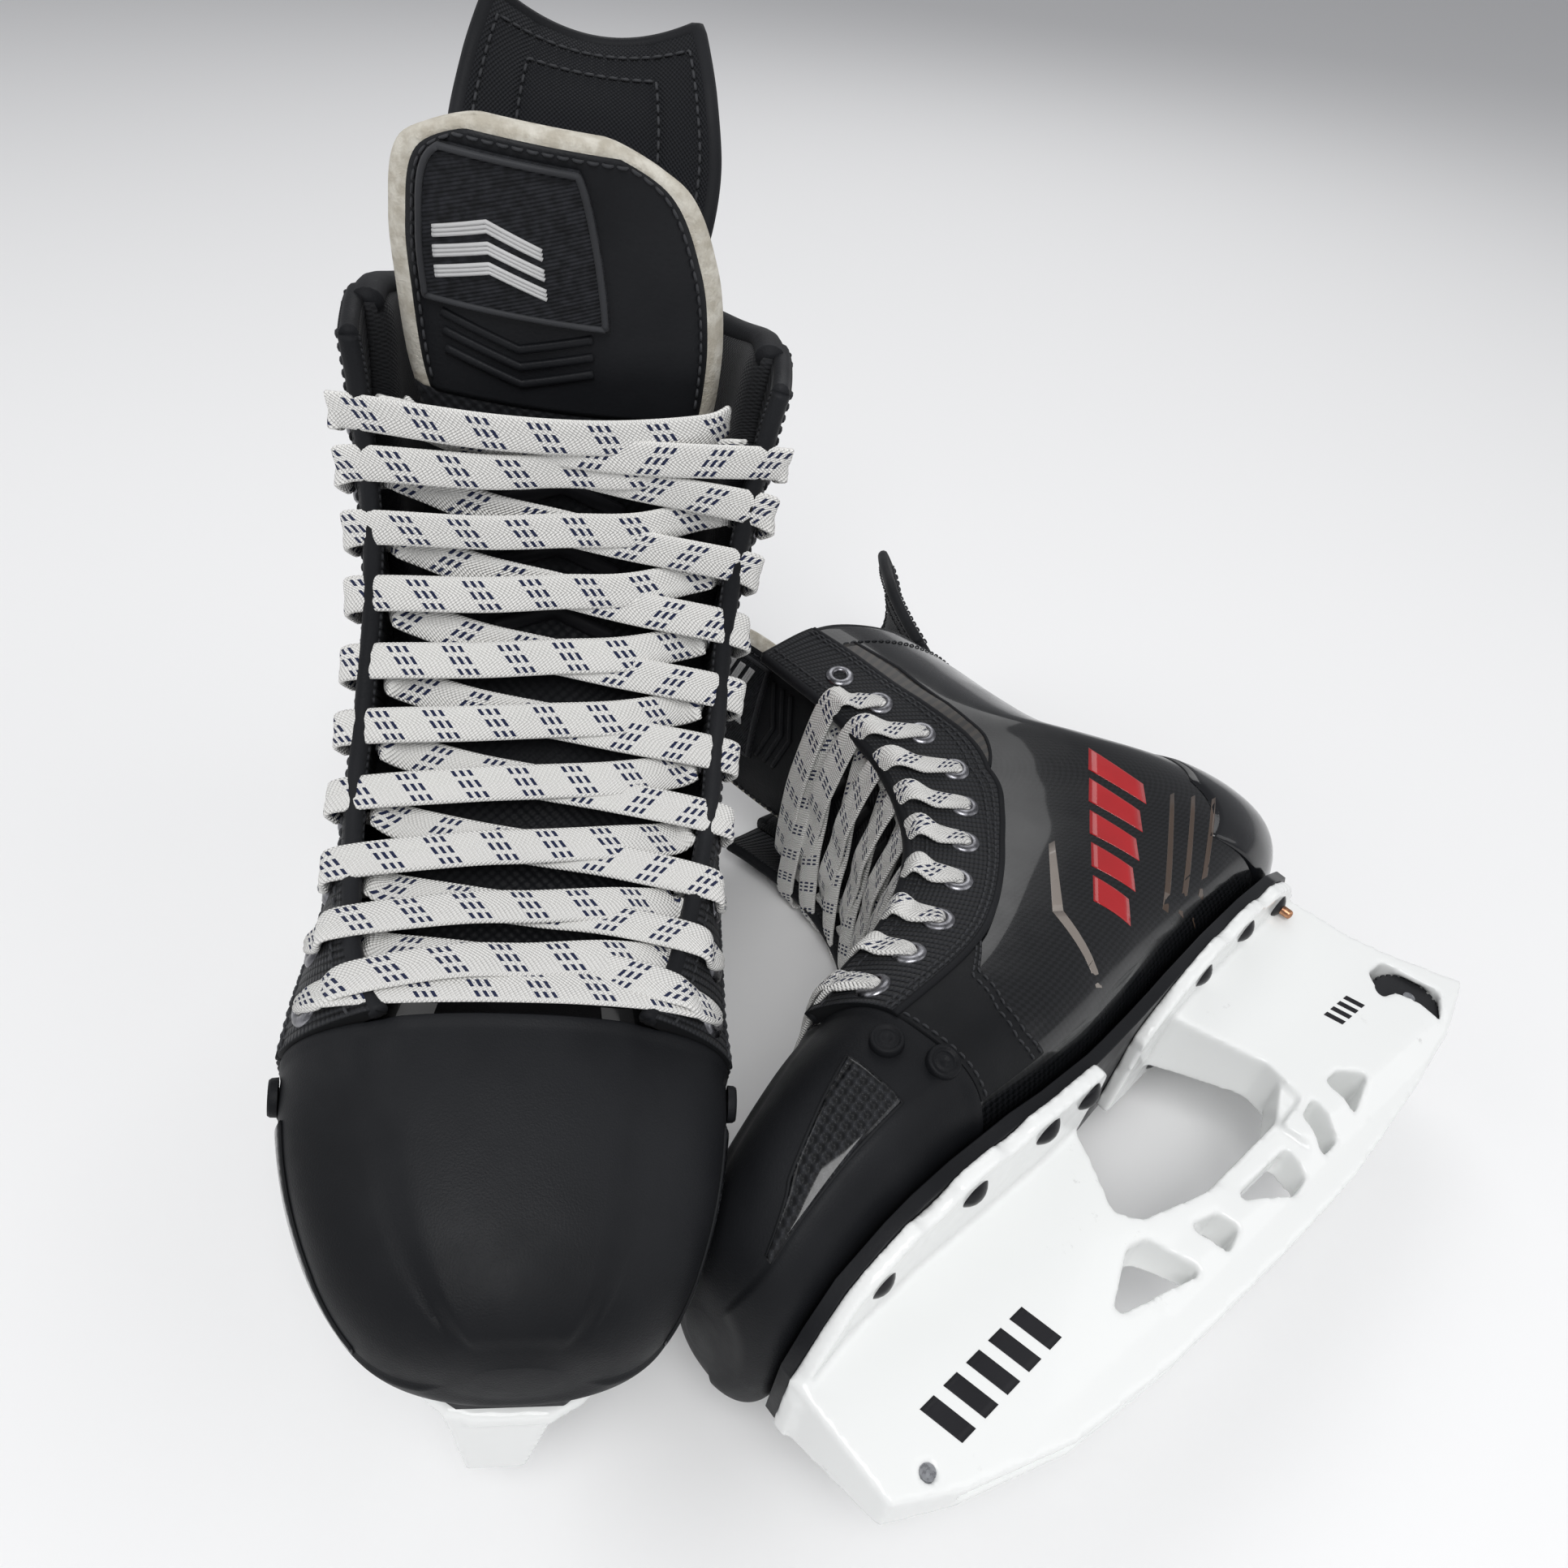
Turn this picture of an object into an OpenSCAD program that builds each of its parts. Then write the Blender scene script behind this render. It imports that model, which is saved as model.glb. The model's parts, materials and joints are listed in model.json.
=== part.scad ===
// A pair of ice hockey skates without runners: the right skate stands on its blade holder and
// leans on the left one, which lies on its inner side.
// One skate is modelled as a left skate (X to the toe, Y to the outer side, Z up, keel at z = 0),
// then placed twice, mirrored for the right foot.

/* [Pair] */
// Lean of the standing skate towards the lying one, degrees
right_lean = 6.0; // [4:0.1:8]
// Toe lift of the standing skate, degrees
right_toe_up = 4.0; // [3:0.1:7]
// Roll of the lying skate, degrees
left_roll = 86.9; // [84:0.1:90]
// Toe lift of the lying skate, degrees
left_toe_up = 3.4; // [2:0.1:5]
// Heading of the lying skate, degrees
left_yaw = -57.1; // [-60:0.1:-54]

/* [Boot] */
// Thickness of the quarter shell
shell_t = 3; // [2:0.1:4]
// Thickness of the ankle padding
liner_t = 6; // [4:0.5:8]
// Thickness of the outsole
outsole_t = 4; // [3:0.1:5]
// How far facings, overlays and trims stand proud of the shell
overlay_t = 1.2; // [0.8:0.1:1.6]
// Thickness of the tongue
tongue_t = 5; // [4:0.5:6]
// Thickness of the tendon guard
guard_t = 4; // [3:0.5:5]

/* [Lacing] */
// Eyelets on each side
eyelets = 10; // [8:1:10]
// Bore of an eyelet barrel, radius
eyelet_r = 2.2; // [2:0.1:2.4]
// Width of the flat lace
lace_w = 8.5; // [7:0.5:9]
// Thickness of the flat lace
lace_t = 1.3; // [1:0.1:1.5]

/* [Blade holder] */
// Width of the runner slot
slot_w = 3.4; // [3.2:0.1:3.6]
// Depth of the runner slot
slot_d = 6; // [4:0.5:7]
// Thickness of the mounting flanges
flange_t = 4.5; // [4:0.1:5]
// Radius of the lock dial
dial_r = 12; // [11:0.5:12.5]
// Radius of the dial's axle
axle_r = 2; // [1.5:0.1:2.5]

/* [Hidden] */

black = "#17181b";
gloss_black = "#0d0e10";
white = "#f2f3f1";

// Where the two skates stand in the pair's frame
right_at = [-99.89, -138.12, -6.52];
left_at = [61, 185.27, 35.91];

// ---- Boot skin ----------------------------------------------------------------------
// Each row is a section plane across the boot: throat point x, z; keel point x, z; half width;
// half gap at the throat; level of the widest point from keel (0) to throat (1); roundness.
quarter = [
    [209, 121, 197, 65, 53.5, 30, 0.48, 3.4],
    [196, 123.5, 170, 66.3, 52, 37, 0.50, 3.4],
    [180, 127.5, 143, 69, 50.5, 41, 0.52, 3.2],
    [165, 134.5, 115, 73.5, 49, 43.5, 0.55, 3.0],
    [152.5, 143.5, 88, 77.8, 47.5, 45, 0.58, 2.9],
    [143.5, 153.5, 60, 81.2, 46.5, 45, 0.60, 2.8],
    [137, 164, 33, 84.2, 46, 45, 0.60, 2.7],
    [131.5, 175, 8, 88, 46.5, 44.5, 0.60, 2.6],
    [128, 186, -6, 98, 47.5, 44.5, 0.62, 2.5],
    [126, 196, -6, 114, 48.5, 44.5, 0.64, 2.4],
    [125, 205, 5, 130, 49.5, 45, 0.66, 2.2],
    [125, 214, 19, 146, 50, 45.5, 0.66, 2.0],
    [125.5, 222, 26, 165, 50, 46, 0.66, 1.9],
    [126.5, 229, 28, 190, 50, 46.5, 0.66, 1.8],
    [127.5, 236, 30, 213, 50, 47, 0.66, 1.8],
    [129, 244, 33, 239, 50.5, 48, 0.68, 1.8]];
// The toe cap's sections, from the nose back to the quarter; they close at the top.
cap = [
    [272.5, 84, 271.5, 72, 9, 0, 0.50, 2.0],
    [270, 91, 269.5, 64, 21.5, 0, 0.48, 2.2],
    [263.5, 98, 263.5, 60, 32, 0, 0.46, 2.5],
    [252, 104.5, 252, 61.5, 41, 0, 0.46, 2.8],
    [237, 111, 235, 63.3, 48, 0, 0.47, 3.0],
    [223, 116.5, 216, 64.3, 52, 0, 0.48, 3.2],
    [209, 121, 197, 65, 53.5, 0, 0.48, 3.4]];
cap_top_roundness = 2.3;
// Columns around half a section: 6 from the keel to the widest point, 6 up to the throat
cols = 12;
facing_col = 8;
top_k = len(quarter) - 1;

function lerp(a, b, t) = a + (b - a) * t;
function unit(v) = v / max(norm(v), 1e-9);
// Smooth value of a list of rows at the real index k
function blend4(a, b, c, d, f) =
    0.5 * (2 * b + (c - a) * f + (2 * a - 5 * b + 4 * c - d) * f * f
        + (3 * b - a - 3 * c + d) * f * f * f);
function row_at(rows, k) =
    let(last = len(rows) - 1, i = max(0, min(floor(k), last - 1)))
    blend4(rows[max(i - 1, 0)], rows[i], rows[i + 1], rows[min(i + 2, last)], k - i);
// The foot's inward swing: sideways shift of the centre line
function swing(x) = x < 190 ? 3 * pow(max(0, (x - 100) / 90), 2) : 3 - 9 * pow((x - 190) / 100, 2);
// [half width, level] of a section at t = 0 (keel) to 1 (throat)
function half_section(r, t) =
    t < 0.5 ? [r[4] * pow(sin(180 * t), 2 / r[7]), r[6] * (1 - pow(cos(180 * t), 2 / r[7]))]
    : r[5] == 0 ? let(g = 180 * t - 90)
        [r[4] * pow(cos(g), 2 / cap_top_roundness), lerp(r[6], 1, pow(sin(g), 2 / cap_top_roundness))]
    : let(u = 2 * t - 1) [lerp(r[4], r[5], u * u), lerp(r[6], 1, u)];
// Height of the collar's crest above its section plane
function crest(k, level) = 4 * max(0, k - top_k + 1) * exp(-pow((level - 0.72) / 0.22, 2));
function boot_point(rows, k, a) =
    let(r = row_at(rows, k), h = half_section(r, min(1, abs(a))), x = lerp(r[2], r[0], h[1]))
    [x, sign(a) * h[0] + swing(x),
        lerp(r[3], r[1], h[1]) + (r[5] == 0 ? 0 : crest(k, h[1]))];
function normal(rows, k, a) =
    let(last = len(rows) - 1, e = 0.08, a0 = max(a - 0.02, -1), a1 = min(a + 0.02, 1))
    unit(cross(boot_point(rows, min(k + e, last), a) - boot_point(rows, max(k - e, 0), a),
        r_closed(rows) && abs(a) > 0.99 ? [0, -1, 0] : boot_point(rows, k, a1) - boot_point(rows, k, a0)));
function r_closed(rows) = rows[0][5] == 0;
function skin(rows, k, a, off) = boot_point(rows, k, a) + off * normal(rows, k, a);

// ---- Closed solids from grids of points ------------------------------------------------
function flat(g) = [for (row = g) each row];
function quad(a, b, c, d) = [[a, b, c], [a, c, d]];
// A solid between two equal grids of points, outer and inner
module slab(outer, inner) {
    ni = len(outer);
    nj = len(outer[0]);
    n = ni * nj;
    function o(i, j) = i * nj + j;
    faces = [
        for (i = [0:ni - 2], j = [0:nj - 2])
            each concat(quad(o(i, j), o(i, j + 1), o(i + 1, j + 1), o(i + 1, j)),
                quad(n + o(i, j), n + o(i + 1, j), n + o(i + 1, j + 1), n + o(i, j + 1))),
        for (j = [0:nj - 2])
            each concat(quad(o(0, j), n + o(0, j), n + o(0, j + 1), o(0, j + 1)),
                quad(o(ni - 1, j), o(ni - 1, j + 1), n + o(ni - 1, j + 1), n + o(ni - 1, j))),
        for (i = [0:ni - 2])
            each concat(quad(o(i, 0), o(i + 1, 0), n + o(i + 1, 0), n + o(i, 0)),
                quad(o(i, nj - 1), n + o(i, nj - 1), n + o(i + 1, nj - 1), o(i + 1, nj - 1)))];
    polyhedron(points = concat(flat(outer), flat(inner)), faces = faces);
}
// A hollow dome between two grids whose rows are closed rings; both ends of the first ring close
module dome(outer, inner) {
    ni = len(outer);
    nj = len(outer[0]);
    n = ni * nj;
    function o(i, j) = i * nj + j % nj;
    faces = [
        for (i = [0:ni - 2], j = [0:nj - 1])
            each concat(quad(o(i, j), o(i, j + 1), o(i + 1, j + 1), o(i + 1, j)),
                quad(n + o(i, j), n + o(i + 1, j), n + o(i + 1, j + 1), n + o(i, j + 1))),
        for (j = [0:nj - 1])
            each quad(o(ni - 1, j), o(ni - 1, j + 1), n + o(ni - 1, j + 1), n + o(ni - 1, j)),
        for (j = [1:nj - 2])
            each [[o(0, 0), o(0, j + 1), o(0, j)], [n, n + o(0, j), n + o(0, j + 1)]]];
    polyhedron(points = concat(flat(outer), flat(inner)), faces = faces);
}
// Grid of boot points on whole stations and columns
function boot_grid(k0, k1, c0, c1, off) =
    [for (k = [k0:k1]) [for (c = [c0:c1]) skin(quarter, k, c / cols, off)]];
module boot_patch(k0, k1, c0, c1, inside, outside)
    slab(boot_grid(k0, k1, c0, c1, outside), boot_grid(k0, k1, c0, c1, inside));
function cap_grid(k0, k1, c0, c1, off) =
    [for (k = [k0:k1]) [for (c = [c0:c1]) skin(cap, k, c / cols, off)]];
module on_skin(rows, k, a, off) {
    n = normal(rows, k, a);
    translate(skin(rows, k, a, off)) rotate([0, acos(n.z), atan2(n.y, n.x)]) children();
}

// ---- Boot ------------------------------------------------------------------------------
module boot_shell()
    color(gloss_black) boot_patch(0, top_k, -facing_col, facing_col, -shell_t, 0);

module toe_cap()
    color(black) dome(cap_grid(0, len(cap) - 1, -cols, cols - 1, 0),
        cap_grid(0, len(cap) - 1, -cols, cols - 1, -shell_t));

module cap_panels()
    color("#26282c") for (side = [-1, 1])
        slab(cap_grid(1, 5, side < 0 ? -7 : 4, side < 0 ? -4 : 7, 0.8),
            cap_grid(1, 5, side < 0 ? -7 : 4, side < 0 ? -4 : 7, 0));

module cap_buttons()
    color("#2b2c2e") for (side = [-1, 1], at = [[5.55, 0.60], [5.75, 0.44]])
        on_skin(cap, at[0], side * at[1], 0.5) cylinder(h = 1.4, r = 4.2, $fn = 32);

module vamp_overlay()
    color(black) for (side = [-1, 1])
        boot_patch(0, 1, side < 0 ? -facing_col : 3, side < 0 ? -3 : facing_col, 0, overlay_t);

module ankle_panels()
    color("#4a3b30") for (side = [-1, 1])
        boot_patch(10, 14, side < 0 ? -facing_col : 7, side < 0 ? -7 : facing_col, 0, overlay_t);

module heel_counter()
    color("#141518") boot_patch(7, 11, -3, 3, 0, overlay_t);

module ankle_liner()
    color("#101113") boot_patch(4, top_k, -facing_col, facing_col, -shell_t - liner_t, -shell_t);

// Eyelets: stations along the throat, and how far round from the keel each one sits
eyelet_k = [0.55, 1.45, 2.4, 3.5, 4.7, 6.0, 7.4, 9.0, 10.8, 12.7];
function eyelet_a(i) = 0.5 + 0.5 * lerp(0.57, 0.62, i / (eyelets - 1));
module at_eyelets(side)
    for (i = [0:eyelets - 1]) on_skin(quarter, eyelet_k[i], side * eyelet_a(i), 0) children();

module facing(side)
    color("#1c1d20") difference() {
        boot_patch(0, top_k, side < 0 ? -cols : facing_col, side < 0 ? -facing_col : cols,
            -shell_t, overlay_t);
        at_eyelets(side) translate([0, 0, -2 * shell_t])
            cylinder(h = 4 * shell_t, r = eyelet_r + 0.6, $fn = 32);
    }
module lateral_facing() facing(1);
module medial_facing() facing(-1);

module eyelet_row()
    color("#7d7f84") for (side = [-1, 1]) at_eyelets(side) rotate_extrude($fn = 32)
        polygon([[eyelet_r, -shell_t - 1.3], [4, -shell_t - 1.3], [4, -shell_t - 0.6],
            [eyelet_r + 0.55, -shell_t - 0.6], [eyelet_r + 0.55, overlay_t + 0.7],
            [5.2, overlay_t + 0.7], [4.6, overlay_t + 1.7], [eyelet_r, overlay_t + 1.7]]);

// ---- Sole ------------------------------------------------------------------------------
// Underside of the outsole, pitched from heel to toe
function sole_z(x) = lookup(x, [[6, 81.5], [24, 80.3], [56, 77.3], [81, 74.5], [110, 70], [140, 65],
    [163, 62.3], [188, 61], [214, 60.3], [239, 59], [255, 56.5], [272, 52.5]]);
sole_xs = [272, 250, 225, 200, 175, 150, 125, 100, 75, 50, 25, 6];
module sole_band(from, to, x_min, x_max)
    rotate([90, 0, 0]) linear_extrude(120, center = true)
        polygon(concat([for (x = sole_xs) if (x >= x_min && x <= x_max) [x, sole_z(x) + from]],
            [for (i = [len(sole_xs) - 1:-1:0]) let(x = sole_xs[i])
                if (x >= x_min && x <= x_max) [x, sole_z(x) + to]]));
// Plan outline: half widths along the foot, outer side then inner side
sole_plan = [[266, 12], [260, 21], [250, 29], [235, 36], [213, 39.5], [190, 39], [165, 35.5],
    [140, 31.5], [110, 29], [80, 29], [50, 29.5], [28, 27], [14, 21], [7, 12]];
module plan(outline, inset = 0)
    linear_extrude(200) polygon(concat([for (p = outline) [p.x, swing(p.x) + p.y - inset]],
        [for (i = [len(outline) - 1:-1:0]) let(p = outline[i]) [p.x, swing(p.x) - p.y + inset]]));

module outsole()
    color("#111214") difference() {
        intersection() {
            sole_band(0, outsole_t, 0, 300);
            plan(sole_plan);
        }
        rivet_bores();
    }

module footbed()
    color("#2a2b2e") intersection() {
        sole_band(outsole_t + shell_t + liner_t + 3, outsole_t + shell_t + liner_t + 6, 20, 230);
        plan([for (p = sole_plan) if (p.x < 240 && p.x > 40) p], 14);
    }

// ---- Blade holder ----------------------------------------------------------------------
// Corners of an outline, each rounded by its own radius
function rounded(pts, r, steps = 4) = [for (i = [0:len(pts) - 1]) let(
    p = pts[i], a = unit(pts[(i + len(pts) - 1) % len(pts)] - p), b = unit(pts[(i + 1) % len(pts)] - p),
    half = acos(max(-1, min(1, a * b))) / 2, reach = r / tan(half))
    for (s = [0:steps]) let(t = s / steps)
        p + reach * (pow(1 - t, 2) * a + pow(t, 2) * b)];
module side_cut(pts, r) rotate([90, 0, 0]) linear_extrude(100, center = true) polygon(rounded(pts, r));
// A width profile along the holder: [half width, z] pairs, extruded from x_min to x_max
module width_profile(half, x_min, x_max)
    translate([x_min, 0, 0]) rotate([90, 0, 90]) linear_extrude(x_max - x_min)
        polygon(concat(half, [for (i = [len(half) - 1:-1:0]) [-half[i].x, half[i].y]]));

// Bottom edge of the holder, heel to toe
keel = [[-14, 19.5], [9, 11], [37, 6.5], [87, 1], [125, 0], [160, 0], [180, 0.3], [216, 3.2],
    [247, 12], [264, 20]];
tower_front = [[5.2, -1], [5.2, 9], [9, 30], [12.5, 50], [14, 70]];
tower_rear = [[5.2, -1], [5.2, 9], [9.8, 17], [9.8, 44], [13.5, 70], [13.5, 95]];
bridge = [[5.2, -1], [5.2, 8], [7, 13], [7, 40]];
front_plan = [[268, 9], [264, 17], [256, 25.5], [245, 33], [230, 38], [210, 41], [185, 41],
    [165, 39.5], [155, 38], [151, 34]];
rear_plan = [[118, 18], [114, 22], [98, 28.5], [80, 32], [55, 32.5], [32, 29], [18, 22.5], [9, 13]];
// Rivets: x and half spacing across the holder
front_rivet_at = [[240, 25], [209, 31.5], [180, 33], [160, 32]];
rear_rivet_at = [[82, 22.5], [54, 24]];
heel_rivet_at = [[24, 16.5]];
rivet_r = 2;
module at_rivets(places)
    for (p = places, side = [-1, 1])
        translate([p.x, swing(p.x) + side * p.y, sole_z(p.x) - flange_t])
            rotate([0, atan((sole_z(p.x - 5) - sole_z(p.x + 5)) / 10), 0]) children();
module rivet_bores()
    at_rivets(concat(front_rivet_at, rear_rivet_at, heel_rivet_at))
        translate([0, 0, -20]) cylinder(h = 40, r = rivet_r, $fn = 32);

dial_at = [10, 27];
dial_w = 13;
module across(at, r, w) translate([at.x, 0, at.y]) rotate([90, 0, 0]) cylinder(h = w, r = r, center = true, $fn = 64);
module holder_towers() {
    intersection() {
        side_cut([[264, 19.5], [268, 62], [150, 72], [164, 36], [158, 30], [128, 23], [150, -1], [264, -1]], 1.5);
        width_profile(tower_front, 125, 275);
    }
    intersection() {
        side_cut([[-14, 19.5], [6, 56], [18, 90], [100, 76], [80, 40], [82, 26], [96, 24], [90, -1], [-14, -1]], 1.5);
        width_profile(tower_rear, -20, 110);
    }
    intersection() {
        side_cut([[172, 36], [158, 30], [134, 24.5], [94, 26], [76, 36], [66, 30], [66, -1], [172, -1]], 1.5);
        width_profile(bridge, 60, 180);
    }
}
module holder()
    color(white) difference() {
        union() {
            intersection() {
                difference() {
                    holder_towers();
                    side_cut([[186, 17.5], [168, 27], [161, 25.5], [153, 10]], 2);
                    side_cut([[147, 21], [136, 18.5], [134, 12], [143, 9.5]], 1.5);
                    side_cut([[130, 18.5], [99, 19], [102, 9.5], [110, 8.5]], 2);
                    side_cut([[87, 22], [78, 24], [82, 11], [91, 10.5]], 1.5);
                    side_cut([[69, 25], [62, 25], [53, 18.5], [70, 12.5]], 2);
                }
                rotate([90, 0, 0]) linear_extrude(100, center = true)
                    polygon(concat(keel, [for (i = [len(sole_xs) - 1:-1:0]) let(x = sole_xs[len(sole_xs) - 1 - i])
                        [x, sole_z(x)]], [[2, 74], [-16, 40]]));
            }
            intersection() {
                sole_band(-flange_t, 0, 100, 272);
                plan(front_plan);
            }
            intersection() {
                sole_band(-flange_t, 0, 0, 125);
                plan(rear_plan);
            }
        }
        rivet_bores();
        intersection() {
            rotate([90, 0, 0]) linear_extrude(slot_w, center = true)
                polygon(concat([for (p = keel) if (p.x > -5 && p.x < 260) p + [0, -8]],
                    [for (i = [len(keel) - 1:-1:0]) let(p = keel[i]) if (p.x > -5 && p.x < 260)
                        p + [0, slot_d]]));
        }
        across(dial_at, dial_r + 0.6, dial_w + 0.8);
        side_cut([[4, 41], [-2, 22], [10, 14.8], [9, 23.5], [13, 31], [20, 33], [13, 41]], 1);
        across(dial_at, axle_r, 18);
        translate([hook_x, 0, 18]) cube([hook_l + 1, hook_w + 0.8, 26], center = true);
        translate([front_stop_x, 0, 20]) rotate([90, 0, 0])
            cylinder(h = 60, r = 2, center = true, $fn = 32);
    }

module front_rivets() color("#1b1c1e") at_rivets(front_rivet_at) rivet();
module rear_rivets() color("#1b1c1e") at_rivets(rear_rivet_at) rivet();
module rivet()
    rotate_extrude($fn = 32) polygon([[0, -2], [3, -1.7], [4.6, 0], [rivet_r, 0],
        [rivet_r, flange_t + outsole_t - 0.5], [0, flange_t + outsole_t - 0.5]]);
module heel_rivet()
    color("#b5623a") at_rivets(heel_rivet_at) {
        rivet();
        translate([0, 0, -6]) cylinder(h = 5, r = 1.6, $fn = 32);
    }

// ---- Runner lock -----------------------------------------------------------------------
hook_x = 29;
hook_l = 7;
hook_w = 2.8;
front_stop_x = 252;
ribs = 28;
module lock_dial()
    color("#121316") difference() {
        across(dial_at, dial_r, dial_w);
        across(dial_at, axle_r + 0.05, dial_w + 2);
        for (i = [0:ribs - 1]) translate([dial_at.x, 0, dial_at.y]) rotate([0, i * 360 / ribs, 0])
            translate([dial_r, 0, 0]) cube([1.6, dial_w + 2, 1], center = true);
    }
module lock_axle() color("#8a8d92") across(dial_at, axle_r, 18);
module lock_hook()
    color("#8a8d92") difference() {
        translate([hook_x - hook_l / 2, -hook_w / 2, 13]) cube([hook_l, hook_w, 12]);
        translate([hook_x - hook_l / 2 - 1, -hook_w, 15]) cube([hook_l / 2, 2 * hook_w, 3]);
    }
module front_stop()
    color("#8a8d92") translate([front_stop_x, 0, 20]) rotate([90, 0, 0])
        cylinder(h = 14, r = 2, center = true, $fn = 32);

// ---- Tongue and tendon guard -----------------------------------------------------------
// Centre line of the tongue's front face, toe end to top
tongue_line = [[198, 113], [178, 119], [160, 127.5], [145, 139], [134, 153], [125.5, 169], [119.5, 186],
    [116, 203], [115.5, 220], [117, 235], [120, 250], [124, 266], [128, 282], [130, 290]];
// Outer and inner half widths at the same places
tongue_edges = [[24, 24], [32, 32], [33, 33], [34, 34], [34, 34], [34, 34], [34, 34], [34, 34],
    [35, 34], [38, 35], [40, 34], [41, 30], [38, 21], [23, 4]];
tongue_split = 8.6;
function tongue_point(k, u, off, inset = 0) =
    let(p = row_at(tongue_line, k), d = unit(row_at(tongue_line, min(k + 0.05, 13)) - row_at(tongue_line, k - 0.05)),
        e = row_at(tongue_edges, k), y = lerp(-e[1] + inset, e[0] - inset, u), depth = off - 0.0038 * y * y)
    [p.x + d.y * depth, y, p.y - d.x * depth];
function tongue_grid(ks, u0, u1, off, inset = 0) =
    [for (k = ks) [for (j = [0:8]) tongue_point(k, lerp(u0, u1, j / 8), off, inset)]];
module tongue_slab(ks, u0, u1, inside, outside, inset = 0)
    slab(tongue_grid(ks, u0, u1, inside, inset), tongue_grid(ks, u0, u1, outside, inset));
lower_ks = [0.2, 1, 2, 3, 4, 5, 6, 7, 8, tongue_split];
upper_ks = [tongue_split + 0.1, 9.5, 10.5, 11.5, 12.3, 13];
module tongue_base() color("#1a1b1d") tongue_slab(lower_ks, 0, 1, -tongue_t, 0);
module tongue_felt() color("#e9e6df") tongue_slab(upper_ks, 0, 1, -tongue_t, -1);
module tongue_cover()
    color(black) tongue_slab([tongue_split + 0.1, 9.5, 10.5, 11.5, 12.3, 12.6], 0, 1, -1, 0.6, 3);
module tongue_badge()
    color("#1f2023") tongue_slab([10.2, 10.9, 11.5, 12.1], 0.36, 0.96, 0.7, 1.7, 3);
module lace_guard()
    color("#101113") for (k = [5.2, 6.0, 6.8, 7.6])
        tongue_slab([k, k + 0.5], 0.25, 0.75, 0.2, 1.2);

// Tendon guard: rows going up, [back x, z, half width, wrap]
guard_rows = [[30.5, 241, 30, 0.016], [27, 257, 34, 0.012], [21, 272, 35, 0.010],
    [12.5, 285, 32.5, 0.009], [2, 297, 28, 0.008]];
function guard_grid(off) =
    [for (r = guard_rows) [for (j = [-5:5]) let(y = j / 5 * r[2])
        [r[0] + off + r[3] * y * y, y, r[1] + (r[0] < 0 ? 5 * pow(j / 5, 2) : 0) + 0.35 * off]]];
module tendon_guard() color("#15161a") slab(guard_grid(guard_t), guard_grid(0));

// ---- Lace ------------------------------------------------------------------------------
// Mid-plane point across the throat: y across, h above the line between the facing edges
function throat_point(k, y, h) =
    let(r = row_at(quarter, k), q = row_at(quarter, min(k + 0.2, top_k)),
        p = row_at(quarter, max(k - 0.2, 0)), d = unit([q[0] - p[0], q[1] - p[1]]))
    [r[0] + d.y * h, y, r[1] - d.x * h];
function throat_dir(k) =
    let(q = row_at(quarter, min(k + 0.2, top_k)), p = row_at(quarter, max(k - 0.2, 0)))
    unit([q[0] - p[0], 0, q[1] - p[1]]);
// Points of one strand: [position, width share, throat direction]; it leaves eyelet i on one
// side over the facing's edge and ends under the other facing at eyelet j
function strand(i, j, side, lift) =
    let(k0 = eyelet_k[i], k1 = eyelet_k[j], a0 = side * eyelet_a(i), a1 = -side * eyelet_a(j),
        km = (k0 + k1) / 2, ke = lerp(k0, k1, 0.15), kf = lerp(k0, k1, 0.85))
    [[skin(quarter, k0, a0, -1), 0.3, throat_dir(k0)],
        [skin(quarter, k0, a0, 3.4), 0.35, throat_dir(k0)],
        [skin(quarter, k0, side * lerp(abs(a0), 1, 0.45), 3.9), 0.9, throat_dir(k0)],
        [skin(quarter, ke, side * 0.99, 3.2), 1, throat_dir(ke)],
        [throat_point(lerp(ke, kf, 0.3), side * 18, lift + 1.2), 1, throat_dir(km)],
        [throat_point(km, 0, lift), 1, throat_dir(km)],
        [throat_point(lerp(ke, kf, 0.7), -side * 18, lift - 0.6), 1, throat_dir(km)],
        [throat_point(kf, -side * 34, -2.6), 1, throat_dir(kf)],
        [skin(quarter, k1, -side * 0.97, -shell_t - 2.6), 0.9, throat_dir(k1)],
        [skin(quarter, k1, a1, -shell_t - 2.9), 0.35, throat_dir(k1)],
        [skin(quarter, k1, a1, -1), 0.3, throat_dir(k1)]];
function bar() =
    let(k = eyelet_k[0], a = eyelet_a(0), d = throat_dir(k))
    [[skin(quarter, k, a, -1), 0.3, d], [skin(quarter, k, a, -shell_t - 2.9), 0.35, d],
        [skin(quarter, k, 0.96, -shell_t - 2.6), 0.9, d], [throat_point(k, 18, -2.4), 1, d],
        [throat_point(k, -18, -2.4), 1, d], [skin(quarter, k, -0.96, -shell_t - 2.6), 0.9, d],
        [skin(quarter, k, -a, -shell_t - 2.9), 0.35, d], [skin(quarter, k, -a, -1), 0.3, d]];
// A loose end: out of the top eyelet, across, and tucked in behind the other facing
function tail(i, side, rise) =
    let(k0 = eyelet_k[i], a0 = side * eyelet_a(i), d = throat_dir(k0))
    [[skin(quarter, k0, a0, -1), 0.3, d], [skin(quarter, k0, a0, 3.4), 0.35, d],
        [skin(quarter, k0, side * lerp(abs(a0), 1, 0.45), 3.9), 0.9, d],
        [skin(quarter, k0 + 0.1, side * 0.99, 3.2), 1, d],
        [throat_point(k0 + 0.3 * rise, side * 18, 4.2 + rise), 1, d],
        [throat_point(k0 + 0.5 * rise, -side * 8, 3.4 + rise), 1, d],
        [throat_point(k0 + 0.8 * rise, -side * 30, 0), 1, d],
        [throat_point(k0 + 0.9 * rise, -side * 37, -6), 0.9, d]];
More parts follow.
